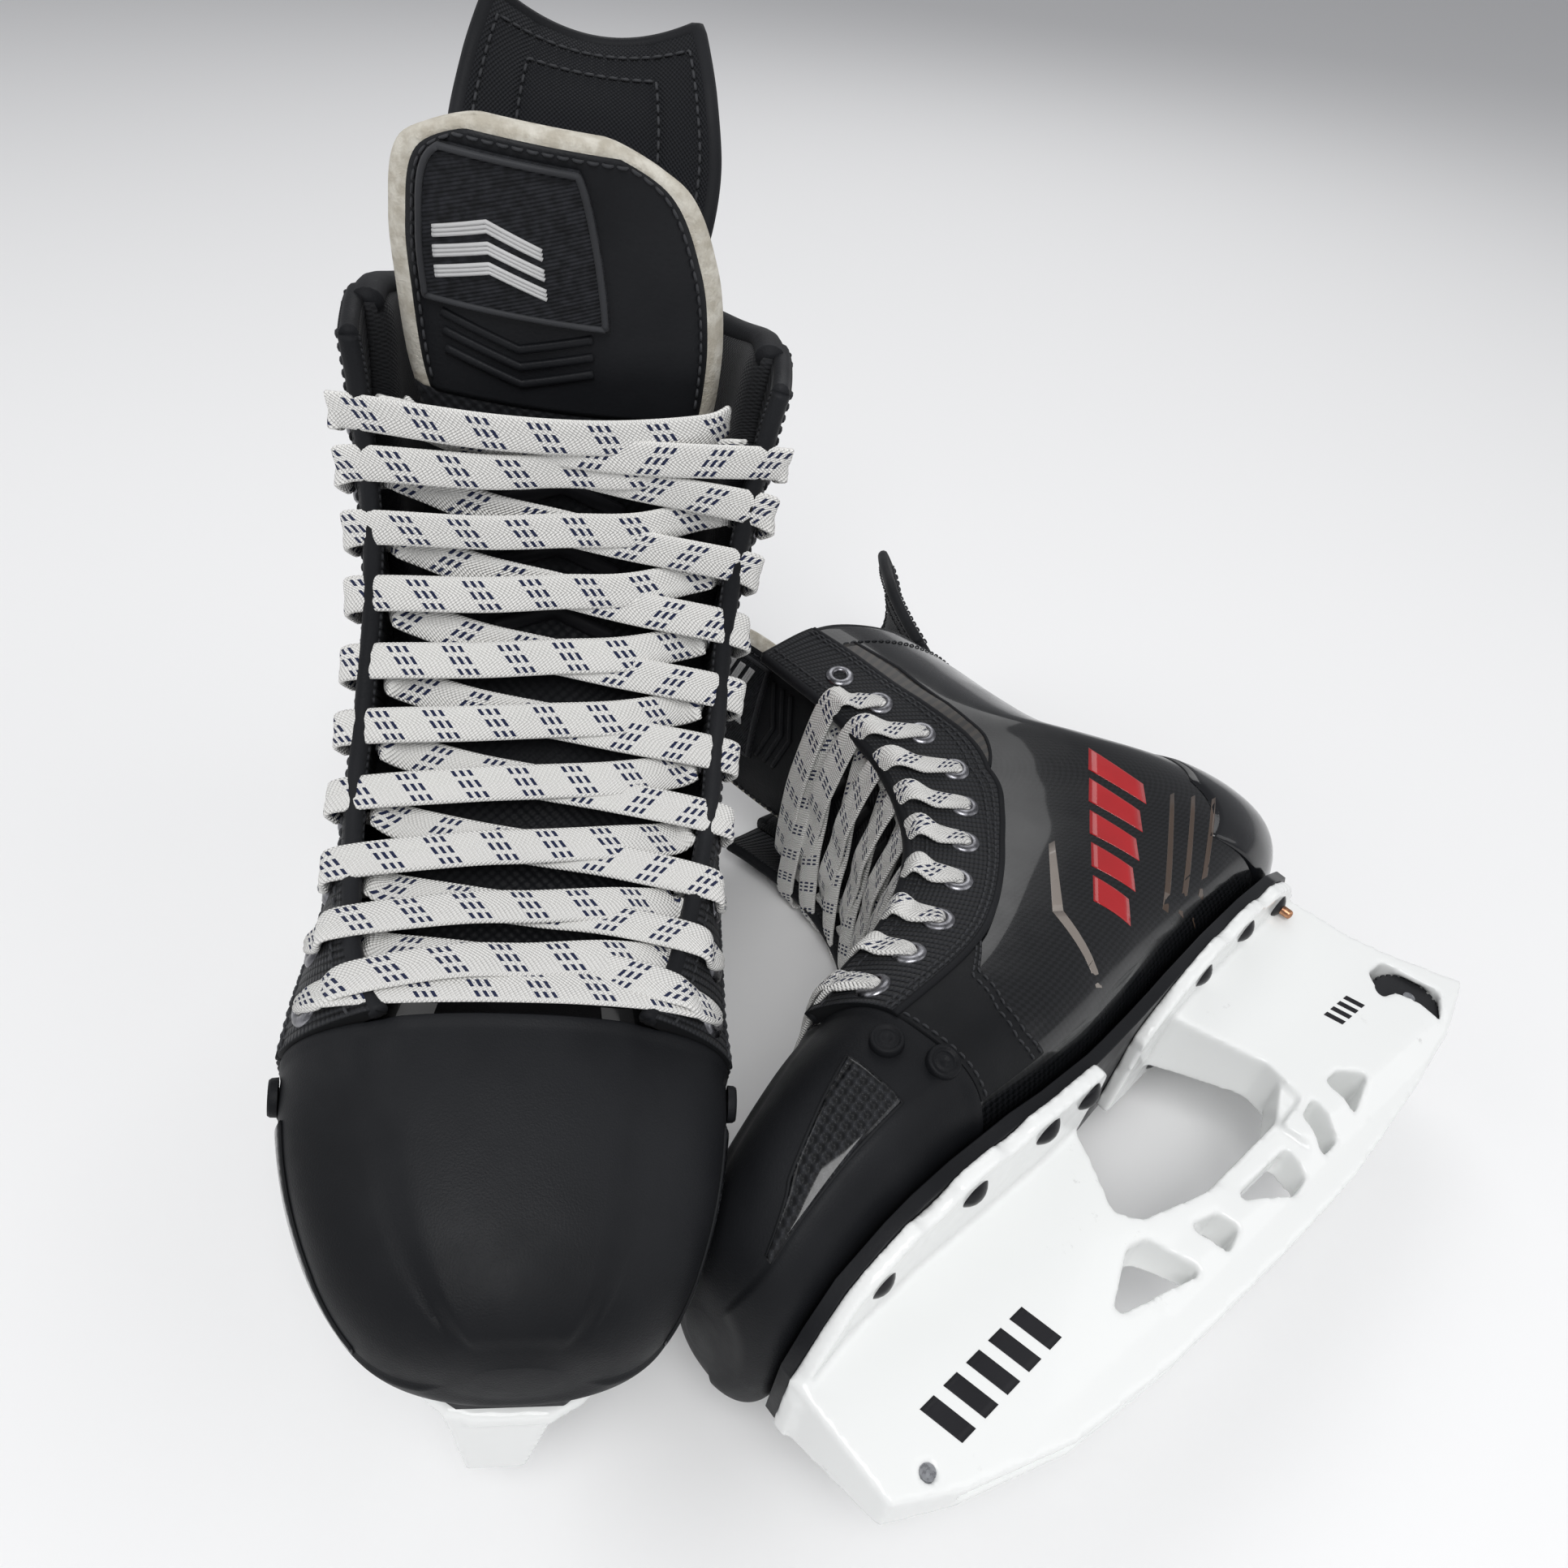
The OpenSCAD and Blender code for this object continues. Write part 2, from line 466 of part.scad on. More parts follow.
module ribbon(path) {
    last = len(path) - 1;
    rings = [for (i = [0:last]) let(
        t = unit(i == 0 ? path[1][0] - path[0][0] : i == last ? path[last][0] - path[last - 1][0]
            : path[i + 1][0] - path[i - 1][0]),
        w = unit(path[i][2] - t * (path[i][2] * t)) * lace_w * path[i][1] / 2,
        h = cross(t, unit(w)) * lace_t / 2)
        [for (c = [[-1, -1], [1, -1], [1, 1], [-1, 1]]) path[i][0] + c.x * w + c.y * h]];
    polyhedron(points = flat(rings), faces = concat([[0, 1, 2], [0, 2, 3]],
        [for (i = [0:last - 1], c = [0:3]) each quad(4 * i + c, 4 * (i + 1) + c,
            4 * (i + 1) + (c + 1) % 4, 4 * i + (c + 1) % 4)],
        [[4 * last + 2, 4 * last + 1, 4 * last], [4 * last + 3, 4 * last + 2, 4 * last]]));
}
module lace(top)
    color("#eceae4") {
        ribbon(bar());
        for (i = [0:top - 2], side = [-1, 1]) ribbon(strand(i, i + 1, side, side > 0 ? 3.4 : 1.2));
        ribbon(tail(top - 1, 1, 1));
        ribbon(tail(top - 1, -1, -0.3));
    }

// ---- Placing ---------------------------------------------------------------------------
module left() translate(left_at) rotate([left_roll, -left_toe_up, left_yaw]) children();
module right() translate(right_at) rotate([-right_lean, -right_toe_up, 0]) mirror([0, 1, 0]) children();

right() boot_shell();  // right_boot_shell
right() outsole();  // right_outsole
right() toe_cap();  // right_toe_cap
right() cap_panels();  // right_cap_panels
right() cap_buttons();  // right_cap_buttons
right() vamp_overlay();  // right_vamp_overlay
right() lateral_facing();  // right_lateral_facing
right() medial_facing();  // right_medial_facing
right() eyelet_row();  // right_eyelets
right() ankle_panels();  // right_ankle_panels
right() heel_counter();  // right_heel_counter
right() tendon_guard();  // right_tendon_guard
right() ankle_liner();  // right_ankle_liner
right() footbed();  // right_footbed
right() tongue_base();  // right_tongue_base
right() tongue_felt();  // right_tongue_felt
right() tongue_cover();  // right_tongue_cover
right() tongue_badge();  // right_tongue_badge
right() lace_guard();  // right_lace_guard
right() holder();  // right_holder
right() front_rivets();  // right_front_rivets
right() rear_rivets();  // right_rear_rivets
right() heel_rivet();  // right_heel_rivet
right() lock_dial();  // right_lock_dial
right() lock_axle();  // right_lock_axle
right() lock_hook();  // right_lock_hook
right() front_stop();  // right_front_stop
right() lace(10);  // right_lace
left() boot_shell();  // left_boot_shell
left() outsole();  // left_outsole
left() toe_cap();  // left_toe_cap
left() cap_panels();  // left_cap_panels
left() cap_buttons();  // left_cap_buttons
left() vamp_overlay();  // left_vamp_overlay
left() lateral_facing();  // left_lateral_facing
left() medial_facing();  // left_medial_facing
left() eyelet_row();  // left_eyelets
left() ankle_panels();  // left_ankle_panels
left() heel_counter();  // left_heel_counter
left() tendon_guard();  // left_tendon_guard
left() ankle_liner();  // left_ankle_liner
left() footbed();  // left_footbed
left() tongue_base();  // left_tongue_base
left() tongue_felt();  // left_tongue_felt
left() tongue_cover();  // left_tongue_cover
left() tongue_badge();  // left_tongue_badge
left() lace_guard();  // left_lace_guard
left() holder();  // left_holder
left() front_rivets();  // left_front_rivets
left() rear_rivets();  // left_rear_rivets
left() heel_rivet();  // left_heel_rivet
left() lock_dial();  // left_lock_dial
left() lock_axle();  // left_lock_axle
left() lock_hook();  // left_lock_hook
left() front_stop();  // left_front_stop
left() lace(9);  // left_lace
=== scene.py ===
import bpy, bmesh, json, math, random
import numpy as np
from mathutils import Matrix, Vector
from mathutils.bvhtree import BVHTree
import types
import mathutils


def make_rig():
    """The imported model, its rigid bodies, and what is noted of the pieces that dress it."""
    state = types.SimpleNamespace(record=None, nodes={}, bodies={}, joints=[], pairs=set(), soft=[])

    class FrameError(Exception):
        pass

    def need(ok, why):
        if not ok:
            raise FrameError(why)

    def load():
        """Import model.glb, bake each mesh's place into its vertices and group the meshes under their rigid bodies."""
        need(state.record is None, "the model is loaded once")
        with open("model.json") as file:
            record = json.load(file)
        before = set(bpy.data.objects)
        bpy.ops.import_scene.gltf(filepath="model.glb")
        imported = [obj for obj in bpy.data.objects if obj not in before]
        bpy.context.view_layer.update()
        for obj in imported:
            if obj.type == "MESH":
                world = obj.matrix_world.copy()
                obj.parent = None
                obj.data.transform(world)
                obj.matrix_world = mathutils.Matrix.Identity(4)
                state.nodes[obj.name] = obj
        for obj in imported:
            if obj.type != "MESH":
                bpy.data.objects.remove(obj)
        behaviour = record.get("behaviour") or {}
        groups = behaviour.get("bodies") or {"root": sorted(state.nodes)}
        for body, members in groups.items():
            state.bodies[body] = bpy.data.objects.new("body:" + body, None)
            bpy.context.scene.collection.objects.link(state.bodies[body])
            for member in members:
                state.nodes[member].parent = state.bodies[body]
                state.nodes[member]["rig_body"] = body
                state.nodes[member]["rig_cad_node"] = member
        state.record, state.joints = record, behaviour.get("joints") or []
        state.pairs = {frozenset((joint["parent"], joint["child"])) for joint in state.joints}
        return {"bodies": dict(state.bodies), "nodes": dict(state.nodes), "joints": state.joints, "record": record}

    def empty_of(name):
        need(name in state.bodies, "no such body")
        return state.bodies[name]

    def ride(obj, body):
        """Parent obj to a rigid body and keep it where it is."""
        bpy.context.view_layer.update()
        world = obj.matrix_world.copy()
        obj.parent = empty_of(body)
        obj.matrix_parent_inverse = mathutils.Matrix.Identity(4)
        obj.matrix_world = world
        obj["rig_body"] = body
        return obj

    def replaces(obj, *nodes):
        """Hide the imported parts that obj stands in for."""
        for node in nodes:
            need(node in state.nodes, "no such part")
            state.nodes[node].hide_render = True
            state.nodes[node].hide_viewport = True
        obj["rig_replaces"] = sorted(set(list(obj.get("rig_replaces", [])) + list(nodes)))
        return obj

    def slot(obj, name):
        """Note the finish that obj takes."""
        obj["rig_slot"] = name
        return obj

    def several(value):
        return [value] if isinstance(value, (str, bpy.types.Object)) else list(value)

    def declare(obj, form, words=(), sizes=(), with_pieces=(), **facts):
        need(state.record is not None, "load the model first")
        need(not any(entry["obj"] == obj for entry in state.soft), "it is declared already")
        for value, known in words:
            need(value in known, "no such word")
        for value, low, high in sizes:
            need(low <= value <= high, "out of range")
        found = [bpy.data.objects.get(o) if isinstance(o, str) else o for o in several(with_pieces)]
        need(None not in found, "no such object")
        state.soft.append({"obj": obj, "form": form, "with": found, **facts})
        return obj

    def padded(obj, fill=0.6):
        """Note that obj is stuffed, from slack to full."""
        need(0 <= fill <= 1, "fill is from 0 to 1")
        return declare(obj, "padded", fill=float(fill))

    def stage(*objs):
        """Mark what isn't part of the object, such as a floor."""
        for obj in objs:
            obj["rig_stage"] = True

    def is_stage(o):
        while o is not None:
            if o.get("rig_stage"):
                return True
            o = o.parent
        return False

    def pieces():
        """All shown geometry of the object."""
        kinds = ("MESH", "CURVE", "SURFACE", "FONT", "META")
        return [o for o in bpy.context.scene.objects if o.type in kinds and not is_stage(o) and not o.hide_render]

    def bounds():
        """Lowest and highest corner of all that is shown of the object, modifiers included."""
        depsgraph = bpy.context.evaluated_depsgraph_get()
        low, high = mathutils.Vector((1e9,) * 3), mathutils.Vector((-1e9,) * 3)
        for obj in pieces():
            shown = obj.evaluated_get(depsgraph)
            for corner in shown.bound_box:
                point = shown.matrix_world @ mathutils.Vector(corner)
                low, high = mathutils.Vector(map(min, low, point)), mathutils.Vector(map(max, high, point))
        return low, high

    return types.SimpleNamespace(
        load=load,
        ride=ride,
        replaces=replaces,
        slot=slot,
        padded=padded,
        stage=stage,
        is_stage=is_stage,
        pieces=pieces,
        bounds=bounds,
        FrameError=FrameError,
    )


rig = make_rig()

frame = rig.load()
cad_box = [list(c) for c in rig.bounds()]
random.seed(4)
scene = bpy.context.scene

# ---- Camera -----------------------------------------------------------------------------
SENSOR = 36                            # mm
FOCAL, FRAME_WIDTH = 1494, 1932        # focal length over frame width sets the angle of view
cam_data = bpy.data.cameras.new("camera")
cam_data.sensor_width = SENSOR
cam_data.lens = SENSOR * FOCAL / FRAME_WIDTH
cam_data.clip_start, cam_data.clip_end = 0.01, 20
cam = bpy.data.objects.new("camera", cam_data)
scene.collection.objects.link(cam)
view = Vector((-0.74164, 0.13812, -0.65643)).normalized()
up = Vector((-0.66115, 0.01491, 0.75011)).normalized()
across = view.cross(up).normalized()
up = across.cross(view)
cam.matrix_world = Matrix.Translation((0.27894, -0.10479, 0.35650)) @ Matrix(
    (across, up, -view)).transposed().to_4x4()
scene.camera = cam

# ---- Placing of the two skates: own frame in mm, X to the toe, Y outwards, Z up -----------
def turn(x, y, z):
    return np.array((Matrix.Rotation(math.radians(z), 3, "Z") @ Matrix.Rotation(math.radians(y), 3, "Y")
        @ Matrix.Rotation(math.radians(x), 3, "X")))
PLACE = {"right": (turn(-6.0, -4.0, 0), np.array([-99.89, -138.12, -6.52]), -1),
    "left": (turn(86.9, -3.4, -57.1), np.array([61, 185.27, 35.91]), 1)}
def world(p, side):
    r, t, m = PLACE[side]
    p = np.asarray(p, float).reshape(-1, 3) * [1, m, 1]
    return (p @ r.T + t) / 1000

# ---- Boot skin ----------------------------------------------------------------------------
QUARTER = np.array([
    [209, 121, 197, 65, 53.5, 30, 0.48, 3.4], [196, 123.5, 170, 66.3, 52, 37, 0.50, 3.4],
    [180, 127.5, 143, 69, 50.5, 41, 0.52, 3.2], [165, 134.5, 115, 73.5, 49, 43.5, 0.55, 3.0],
    [152.5, 143.5, 88, 77.8, 47.5, 45, 0.58, 2.9], [143.5, 153.5, 60, 81.2, 46.5, 45, 0.60, 2.8],
    [137, 164, 33, 84.2, 46, 45, 0.60, 2.7], [131.5, 175, 8, 88, 46.5, 44.5, 0.60, 2.6],
    [128, 186, -6, 98, 47.5, 44.5, 0.62, 2.5], [126, 196, -6, 114, 48.5, 44.5, 0.64, 2.4],
    [125, 205, 5, 130, 49.5, 45, 0.66, 2.2], [125, 214, 19, 146, 50, 45.5, 0.66, 2.0],
    [125.5, 222, 26, 165, 50, 46, 0.66, 1.9], [126.5, 229, 28, 190, 50, 46.5, 0.66, 1.8],
    [127.5, 236, 30, 213, 50, 47, 0.66, 1.8], [129, 244, 33, 239, 50.5, 48, 0.68, 1.8]])
CAP = np.array([
    [272.5, 84, 271.5, 72, 9, 0, 0.50, 2.0], [270, 91, 269.5, 64, 21.5, 0, 0.48, 2.2],
    [263.5, 98, 263.5, 60, 32, 0, 0.46, 2.5], [252, 104.5, 252, 61.5, 41, 0, 0.46, 2.8],
    [237, 111, 235, 63.3, 48, 0, 0.47, 3.0], [223, 116.5, 216, 64.3, 52, 0, 0.48, 3.2],
    [209, 121, 197, 65, 53.5, 0, 0.48, 3.4]])
TOP = 15
def row_at(rows, k):
    k = np.asarray(k, float)
    last = len(rows) - 1
    i = np.clip(np.floor(k).astype(int), 0, last - 1)
    f = (k - i)[..., None]
    a, b, c, d = rows[np.maximum(i - 1, 0)], rows[i], rows[i + 1], rows[np.minimum(i + 2, last)]
    return 0.5 * (2 * b + (c - a) * f + (2 * a - 5 * b + 4 * c - d) * f * f + (3 * b - a - 3 * c + d) *
        f ** 3)
def swing(x):
    return np.where(x < 190, 3 * np.maximum(0, (x - 100) / 90) ** 2, 3 - 9 * ((x - 190) / 100) ** 2)
def boot_point(rows, k, a):
    k, a = np.broadcast_arrays(np.asarray(k, float), np.asarray(a, float))
    r = row_at(rows, k)
    t = np.minimum(1, np.abs(a))
    low = t < 0.5
    s, c = np.sin(np.pi * t), np.cos(np.pi * t)
    e = 2 / r[..., 7]
    y0, l0 = r[..., 4] * np.maximum(s, 0) ** e, r[..., 6] * (1 - np.maximum(c, 0) ** e)
    u = 2 * t - 1
    if rows is CAP:
        g = np.pi * (t - 0.5)
        y1 = r[..., 4] * np.maximum(np.cos(g), 0) ** (2 / 2.3)
        l1 = r[..., 6] + (1 - r[..., 6]) * np.maximum(np.sin(g), 0) ** (2 / 2.3)
    else:
        y1 = r[..., 4] + (r[..., 5] - r[..., 4]) * u * u
        l1 = r[..., 6] + (1 - r[..., 6]) * u
    y, l = np.where(low, y0, y1), np.where(low, l0, l1)
    x = r[..., 2] + (r[..., 0] - r[..., 2]) * l
    z = r[..., 3] + (r[..., 1] - r[..., 3]) * l
    if rows is QUARTER:
        z = z + 4 * np.maximum(0, k - TOP + 1) * np.exp(-((l - 0.72) / 0.22) ** 2)
    return np.stack([x, np.sign(a) * y + swing(x), z], -1)
def unit(v):
    return v / np.maximum(np.linalg.norm(v, axis=-1, keepdims=True), 1e-9)
def normal(rows, k, a):
    k, a = np.broadcast_arrays(np.asarray(k, float), np.asarray(a, float))
    last, e = len(rows) - 1, 0.08
    a = np.where(np.abs(a) < 0.006, 0.006 * np.where(a < 0, -1, 1), a)
    dk = boot_point(rows, np.minimum(k + e, last), a) - boot_point(rows, np.maximum(k - e, 0), a)
    da = boot_point(rows, k, np.minimum(a + 0.02, 1)) - boot_point(rows, k, np.maximum(a - 0.02, -1))
    if rows is CAP:
        da = np.where((np.abs(a) > 0.985)[..., None], np.stack([0 * a, -1 + 0 * a, 0 * a], -1), da)
    return unit(np.cross(dk, da))
def skin(rows, k, a, off):
    return boot_point(rows, k, a) + np.asarray(off, float)[..., None] * normal(rows, k, a)

def lin(a, b, n):
    return np.linspace(a, b, n)
def step(x, a, b):
    t = np.clip((x - a) / (b - a), 0, 1)
    return t * t * (3 - 2 * t)

# ---- Mesh making ---------------------------------------------------------------------------
def add_mesh(name, side, verts, faces, uvs, body, nodes, mat, slot_name, smooth=True, bevel=0, loops_uv=None):
    if PLACE[side][2] < 0:
        faces = [tuple(reversed(f)) for f in faces]
    me = bpy.data.meshes.new(f"{side}_{name}")
    me.from_pydata([tuple(v) for v in world(verts, side)], [], faces)
    me.validate()
    if uvs is not None:
        layer = me.uv_layers.new(name="UVMap")
        idx = np.zeros(len(me.loops), int)
        me.loops.foreach_get("vertex_index", idx)
        layer.data.foreach_set("uv", np.asarray(uvs, float)[idx].ravel())
    bm = bmesh.new()
    bm.from_mesh(me)
    bmesh.ops.recalc_face_normals(bm, faces=bm.faces)
    bm.to_mesh(me)
    bm.free()
    for p in me.polygons:
        p.use_smooth = smooth
    o = bpy.data.objects.new(f"{side}_{name}", me)
    scene.collection.objects.link(o)
    me.materials.append(mat.m)
    if bevel:
        b = o.modifiers.new("round", "BEVEL")
        b.width, b.segments, b.limit_method, b.angle_limit = bevel / 1000, 3, "ANGLE", math.radians(50)
        b.harden_normals = False
    who = "boots" if body == "boots" else f"{side}_{body}"
    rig.ride(o, who)
    if nodes:
        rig.replaces(o, *[f"{side}_{n}" for n in nodes])
    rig.slot(o, slot_name)
    return o
def grid_uv(g):
    du = np.linalg.norm(np.diff(g, axis=0), axis=2).mean(1)
    dv = np.linalg.norm(np.diff(g, axis=1), axis=2)
    u = np.concatenate([[0], np.cumsum(du)])
    v = np.concatenate([np.zeros((len(g), 1)), np.cumsum(dv, 1)], 1)
    v = v - v.mean(1, keepdims=True)
    return np.stack([np.repeat(u[:, None], g.shape[1], 1), v], -1) / 1000
def slab_data(outer, inner):
    ni, nj = outer.shape[:2]
    n = ni * nj
    o = lambda i, j: i * nj + j
    f = []
    for i in range(ni - 1):
        for j in range(nj - 1):
            f.append((o(i, j), o(i, j + 1), o(i + 1, j + 1), o(i + 1, j)))
            f.append((n + o(i, j), n + o(i + 1, j), n + o(i + 1, j + 1), n + o(i, j + 1)))
    for j in range(nj - 1):
        f.append((o(0, j), n + o(0, j), n + o(0, j + 1), o(0, j + 1)))
        f.append((o(ni - 1, j), o(ni - 1, j + 1), n + o(ni - 1, j + 1), n + o(ni - 1, j)))
    for i in range(ni - 1):
        f.append((o(i, 0), o(i + 1, 0), n + o(i + 1, 0), n + o(i, 0)))
        f.append((o(i, nj - 1), n + o(i, nj - 1), n + o(i + 1, nj - 1), o(i + 1, nj - 1)))
    uv = grid_uv(outer).reshape(-1, 2)
    return np.concatenate([outer.reshape(-1, 3), inner.reshape(-1, 3)]), f, np.concatenate([uv, uv])
def slab(name, side, outer, inner, body, nodes, mat, slot_name, bevel=0.4):
    v, f, uv = slab_data(outer, inner)
    return add_mesh(name, side, v, f, uv, body, nodes, mat, slot_name, bevel=bevel)
def join(parts):
    v, f, uv, n = [], [], [], 0
    for a, b, c in parts:
        v.append(a)
        uv.append(c if c is not None else np.zeros((len(a), 2)))
        f += [tuple(i + n for i in q) for q in b]
        n += len(a)
    return np.concatenate(v), f, np.concatenate(uv)
def lathe(profile, n=40):
    prof = np.array(profile, float)
    m = len(prof)
    ang = np.arange(n) * 2 * math.pi / n
    v = np.stack([prof[None, :, 0] * np.cos(ang)[:, None], prof[None, :, 0] * np.sin(ang)[:, None],
        np.repeat(prof[None, :, 1], n, 0)], -1).reshape(-1, 3)
    f = [(i * m + j, ((i + 1) % n) * m + j, ((i + 1) % n) * m + j + 1, i * m + j + 1)
        for i in range(n) for j in range(m - 1)]
    return v, f, np.repeat(np.stack([ang / 6.283, ang * 0], -1), m, 0)
def stood(part, p, n, ref=(1, 0, 0)):
    v, f, uv = part
    n = unit(np.asarray(n, float))
    ref = np.asarray(ref, float)
    x = unit(ref - n * (ref @ n))
    y = np.cross(n, x)
    return v @ np.stack([x, y, n]) + np.asarray(p, float), f, uv
def tube(path, r, n=10, flat=1.0, closed=False, normals=None):
    p = np.asarray(path, float)
    t = unit(np.gradient(p, axis=0)) if not closed else unit(np.roll(p, -1, 0) - np.roll(p, 1, 0))
    ref = normals if normals is not None else np.repeat([[0, 0, 1.0]], len(p), 0)
    x = unit(ref - t * (ref * t).sum(1, keepdims=True))
    y = np.cross(t, x)
    ang = np.arange(n) * 2 * math.pi / n
    rr = np.broadcast_to(r, (len(p),))[:, None, None]
    v = p[:, None] + rr * (flat * np.cos(ang)[None, :, None] * x[:, None] + np.sin(ang)[None, :, None] *
        y[:, None])
    m = len(p)
    f = [(i * n + j, i * n + (j + 1) % n, ((i + 1) % m) * n + (j + 1) % n, ((i + 1) % m) * n + j)
        for i in range(m if closed else m - 1) for j in range(n)]
    if not closed:
        f += [tuple(range(n))[::-1], tuple((m - 1) * n + j for j in range(n))]
    s = np.concatenate([[0], np.cumsum(np.linalg.norm(np.diff(p, axis=0), axis=1))]) / 1000
    uv = np.stack([np.repeat(s, n), np.tile(ang * np.mean(r) / 1000, m)], -1)
    return v.reshape(-1, 3), f, uv
def resample(path, gap):
    p = np.asarray(path, float)
    s = np.concatenate([[0], np.cumsum(np.linalg.norm(np.diff(p, axis=0), axis=1))])
    n = max(2, int(round(s[-1] / gap)) + 1)
    return np.stack([np.interp(np.linspace(0, s[-1], n), s, p[:, i]) for i in range(3)], -1)
def stitches(path, norms, pitch=3.0, length=2.1, r=0.42):
    """Thread runs along a line on a surface, sunk at both ends"""
    p = np.asarray(path, float)
    q = np.asarray(norms, float)
    s = np.concatenate([[0], np.cumsum(np.linalg.norm(np.diff(p, axis=0), axis=1))])
    at = np.arange(pitch * 0.3, s[-1] - length, pitch)
    parts = []
    for a in at:
        ss = a + np.array([0, 0.18, 0.5, 0.82, 1]) * length
        c = np.stack([np.interp(ss, s, p[:, i]) for i in range(3)], -1)
        nn = unit(np.stack([np.interp(ss, s, q[:, i]) for i in range(3)], -1))
        c = c + nn * np.array([-0.25, 0.12, 0.25, 0.12, -0.25])[:, None]
        parts.append(tube(c, np.array([0.6, 0.95, 1, 0.95, 0.6]) * r, 6, normals=nn))
    return join(parts)

# ---- Materials -------------------------------------------------------------------------------
class Mat:
    def __init__(self, name, colour, rough, metal=0.0, coat=0.0, coat_rough=0.05, sheen=0.0, spec=0.14,
        sub=0.0):
        self.m = bpy.data.materials.new(name)
        self.m.use_nodes = True
        self.nt = self.m.node_tree
        self.b = self.nt.nodes["Principled BSDF"]
        i = self.b.inputs
        i["Base Color"].default_value = (*colour, 1)
        i["Roughness"].default_value = rough
        i["Metallic"].default_value = metal
        i["Coat Weight"].default_value = coat
        i["Coat Roughness"].default_value = coat_rough
        i["Sheen Weight"].default_value = sheen
        i["Sheen Roughness"].default_value = 0.45
        i["Specular IOR Level"].default_value = spec
        if sub:
            i["Subsurface Weight"].default_value = sub
            i["Subsurface Radius"].default_value = (0.004, 0.004, 0.004)
        self.colour = colour
    def node(self, kind, **props):
        n = self.nt.nodes.new(kind)
        for k, v in props.items():
            setattr(n, k, v)
        return n
    def set(self, n, **vals):
        for k, v in vals.items():
            key = int(k[1:]) if k[0] == "i" and k[1:].isdigit() else k.replace("_", " ")
            s = n.inputs[key]
            if isinstance(v, bpy.types.NodeSocket):
                self.nt.links.new(v, s)
            else:
                s.default_value = v
        return n
    def math(self, op, a, b=0.0, c=0.0):
        n = self.set(self.node("ShaderNodeMath", operation=op), i0=a, i1=b)
        if op in ("MULTIPLY_ADD", "SMOOTH_MIN", "COMPARE"):
            self.set(n, i2=c)
        return n.outputs[0]
    def uv(self):
        u = self.node("ShaderNodeUVMap")
        u.uv_map = "UVMap"
        s = self.set(self.node("ShaderNodeSeparateXYZ"), i0=u.outputs[0])
        return s.outputs[0], s.outputs[1]
    def obj(self):
        return self.node("ShaderNodeTexCoord").outputs["Object"]
    def noise(self, scale, detail=3.0, vec=None, rough=0.55):
        n = self.set(self.node("ShaderNodeTexNoise"), Vector=vec if vec is not None else self.obj(),
            Scale=scale, Detail=detail, Roughness=rough)
        return n.outputs["Fac"]
    def wave(self, s, period):
        return self.math("SINE", self.math("MULTIPLY", s, 2 * math.pi / period))
    def span(self, v, a, b, c, d):
        n = self.set(self.node("ShaderNodeMapRange", interpolation_type="SMOOTHSTEP"), Value=v, From_Min=a,
            From_Max=b, To_Min=c, To_Max=d)
        return n.outputs[0]
    def bump(self, height, dist, strength=1.0):
        prev = self.b.inputs["Normal"].links[0].from_socket if self.b.inputs["Normal"].links else None
        n = self.set(self.node("ShaderNodeBump"), Height=height, Distance=dist, Strength=strength)
        if prev is not None:
            self.nt.links.new(prev, n.inputs["Normal"])
        self.nt.links.new(n.outputs[0], self.b.inputs["Normal"])
        return self
    def mix(self, fac, a, b):
        n = self.node("ShaderNodeMix", data_type="RGBA")
        for s, v in ((n.inputs[0], fac), (n.inputs[6], a), (n.inputs[7], b)):
            if isinstance(v, bpy.types.NodeSocket):
                self.nt.links.new(v, s)
            else:
                s.default_value = (*v, 1) if isinstance(v, tuple) else v
        return n.outputs[2]
    def weave(self, s, t, period_s, period_t):
        """Ribs along s crossed with ribs along t"""
        return self.math("MULTIPLY", self.wave(s, period_s), self.wave(t, period_t))
    def tint(self, value, low, high, dark, light):
        """Colour from dark to light as value goes from low to high"""
        return self.paint(self.mix(self.span(value, low, high, 0.0, 1.0), dark, light))
    def paint(self, socket):
        self.nt.links.new(socket, self.b.inputs["Base Color"])
        return self
    def roughen(self, socket):
        self.nt.links.new(socket, self.b.inputs["Roughness"])
        return self

def grainy(name, colour, rough, grain=2600, depth=0.00012, second=None, **kw):
    m = Mat(name, colour, rough, **kw)
    m.bump(m.noise(grain, 2.0), depth, 0.6)
    lo = m.noise(45, 3.0)
    m.roughen(m.span(lo, 0.3, 0.7, max(rough - 0.07, 0.03), rough + 0.08))
    c2 = second or tuple(min(1, c * 1.45 + 0.004) for c in colour)
    m.tint(m.noise(14, 4.0), 0.35, 0.7, colour, c2)
    return m

composite = Mat("composite", (0.006, 0.0065, 0.0075), 0.22, coat=0.45, coat_rough=0.04)
u, v = composite.uv()
w = composite.weave(composite.math("ADD", u, v), composite.math("SUBTRACT", u, v), 0.0042, 0.0042)
composite.tint(w, -0.4, 0.4, (0.004, 0.0045, 0.005), (0.010, 0.0105, 0.012))
composite.roughen(composite.span(composite.noise(60), 0.3, 0.7, 0.16, 0.30))
cap_mat = grainy("toe_cap_rubber", (0.006, 0.0065, 0.0078), 0.52, grain=2200, depth=0.00016)
overlay_mat = grainy("overlay", (0.006, 0.0065, 0.0075), 0.58, grain=1500, depth=0.00014)
weave = Mat("woven_inset", (0.02, 0.021, 0.024), 0.3, coat=0.7, coat_rough=0.08)
u, v = weave.uv()
brick = weave.weave(weave.math("ADD", u, v), weave.math("SUBTRACT", u, v), 0.0056, 0.0056)
weave.bump(brick, 0.0007, 1.0)
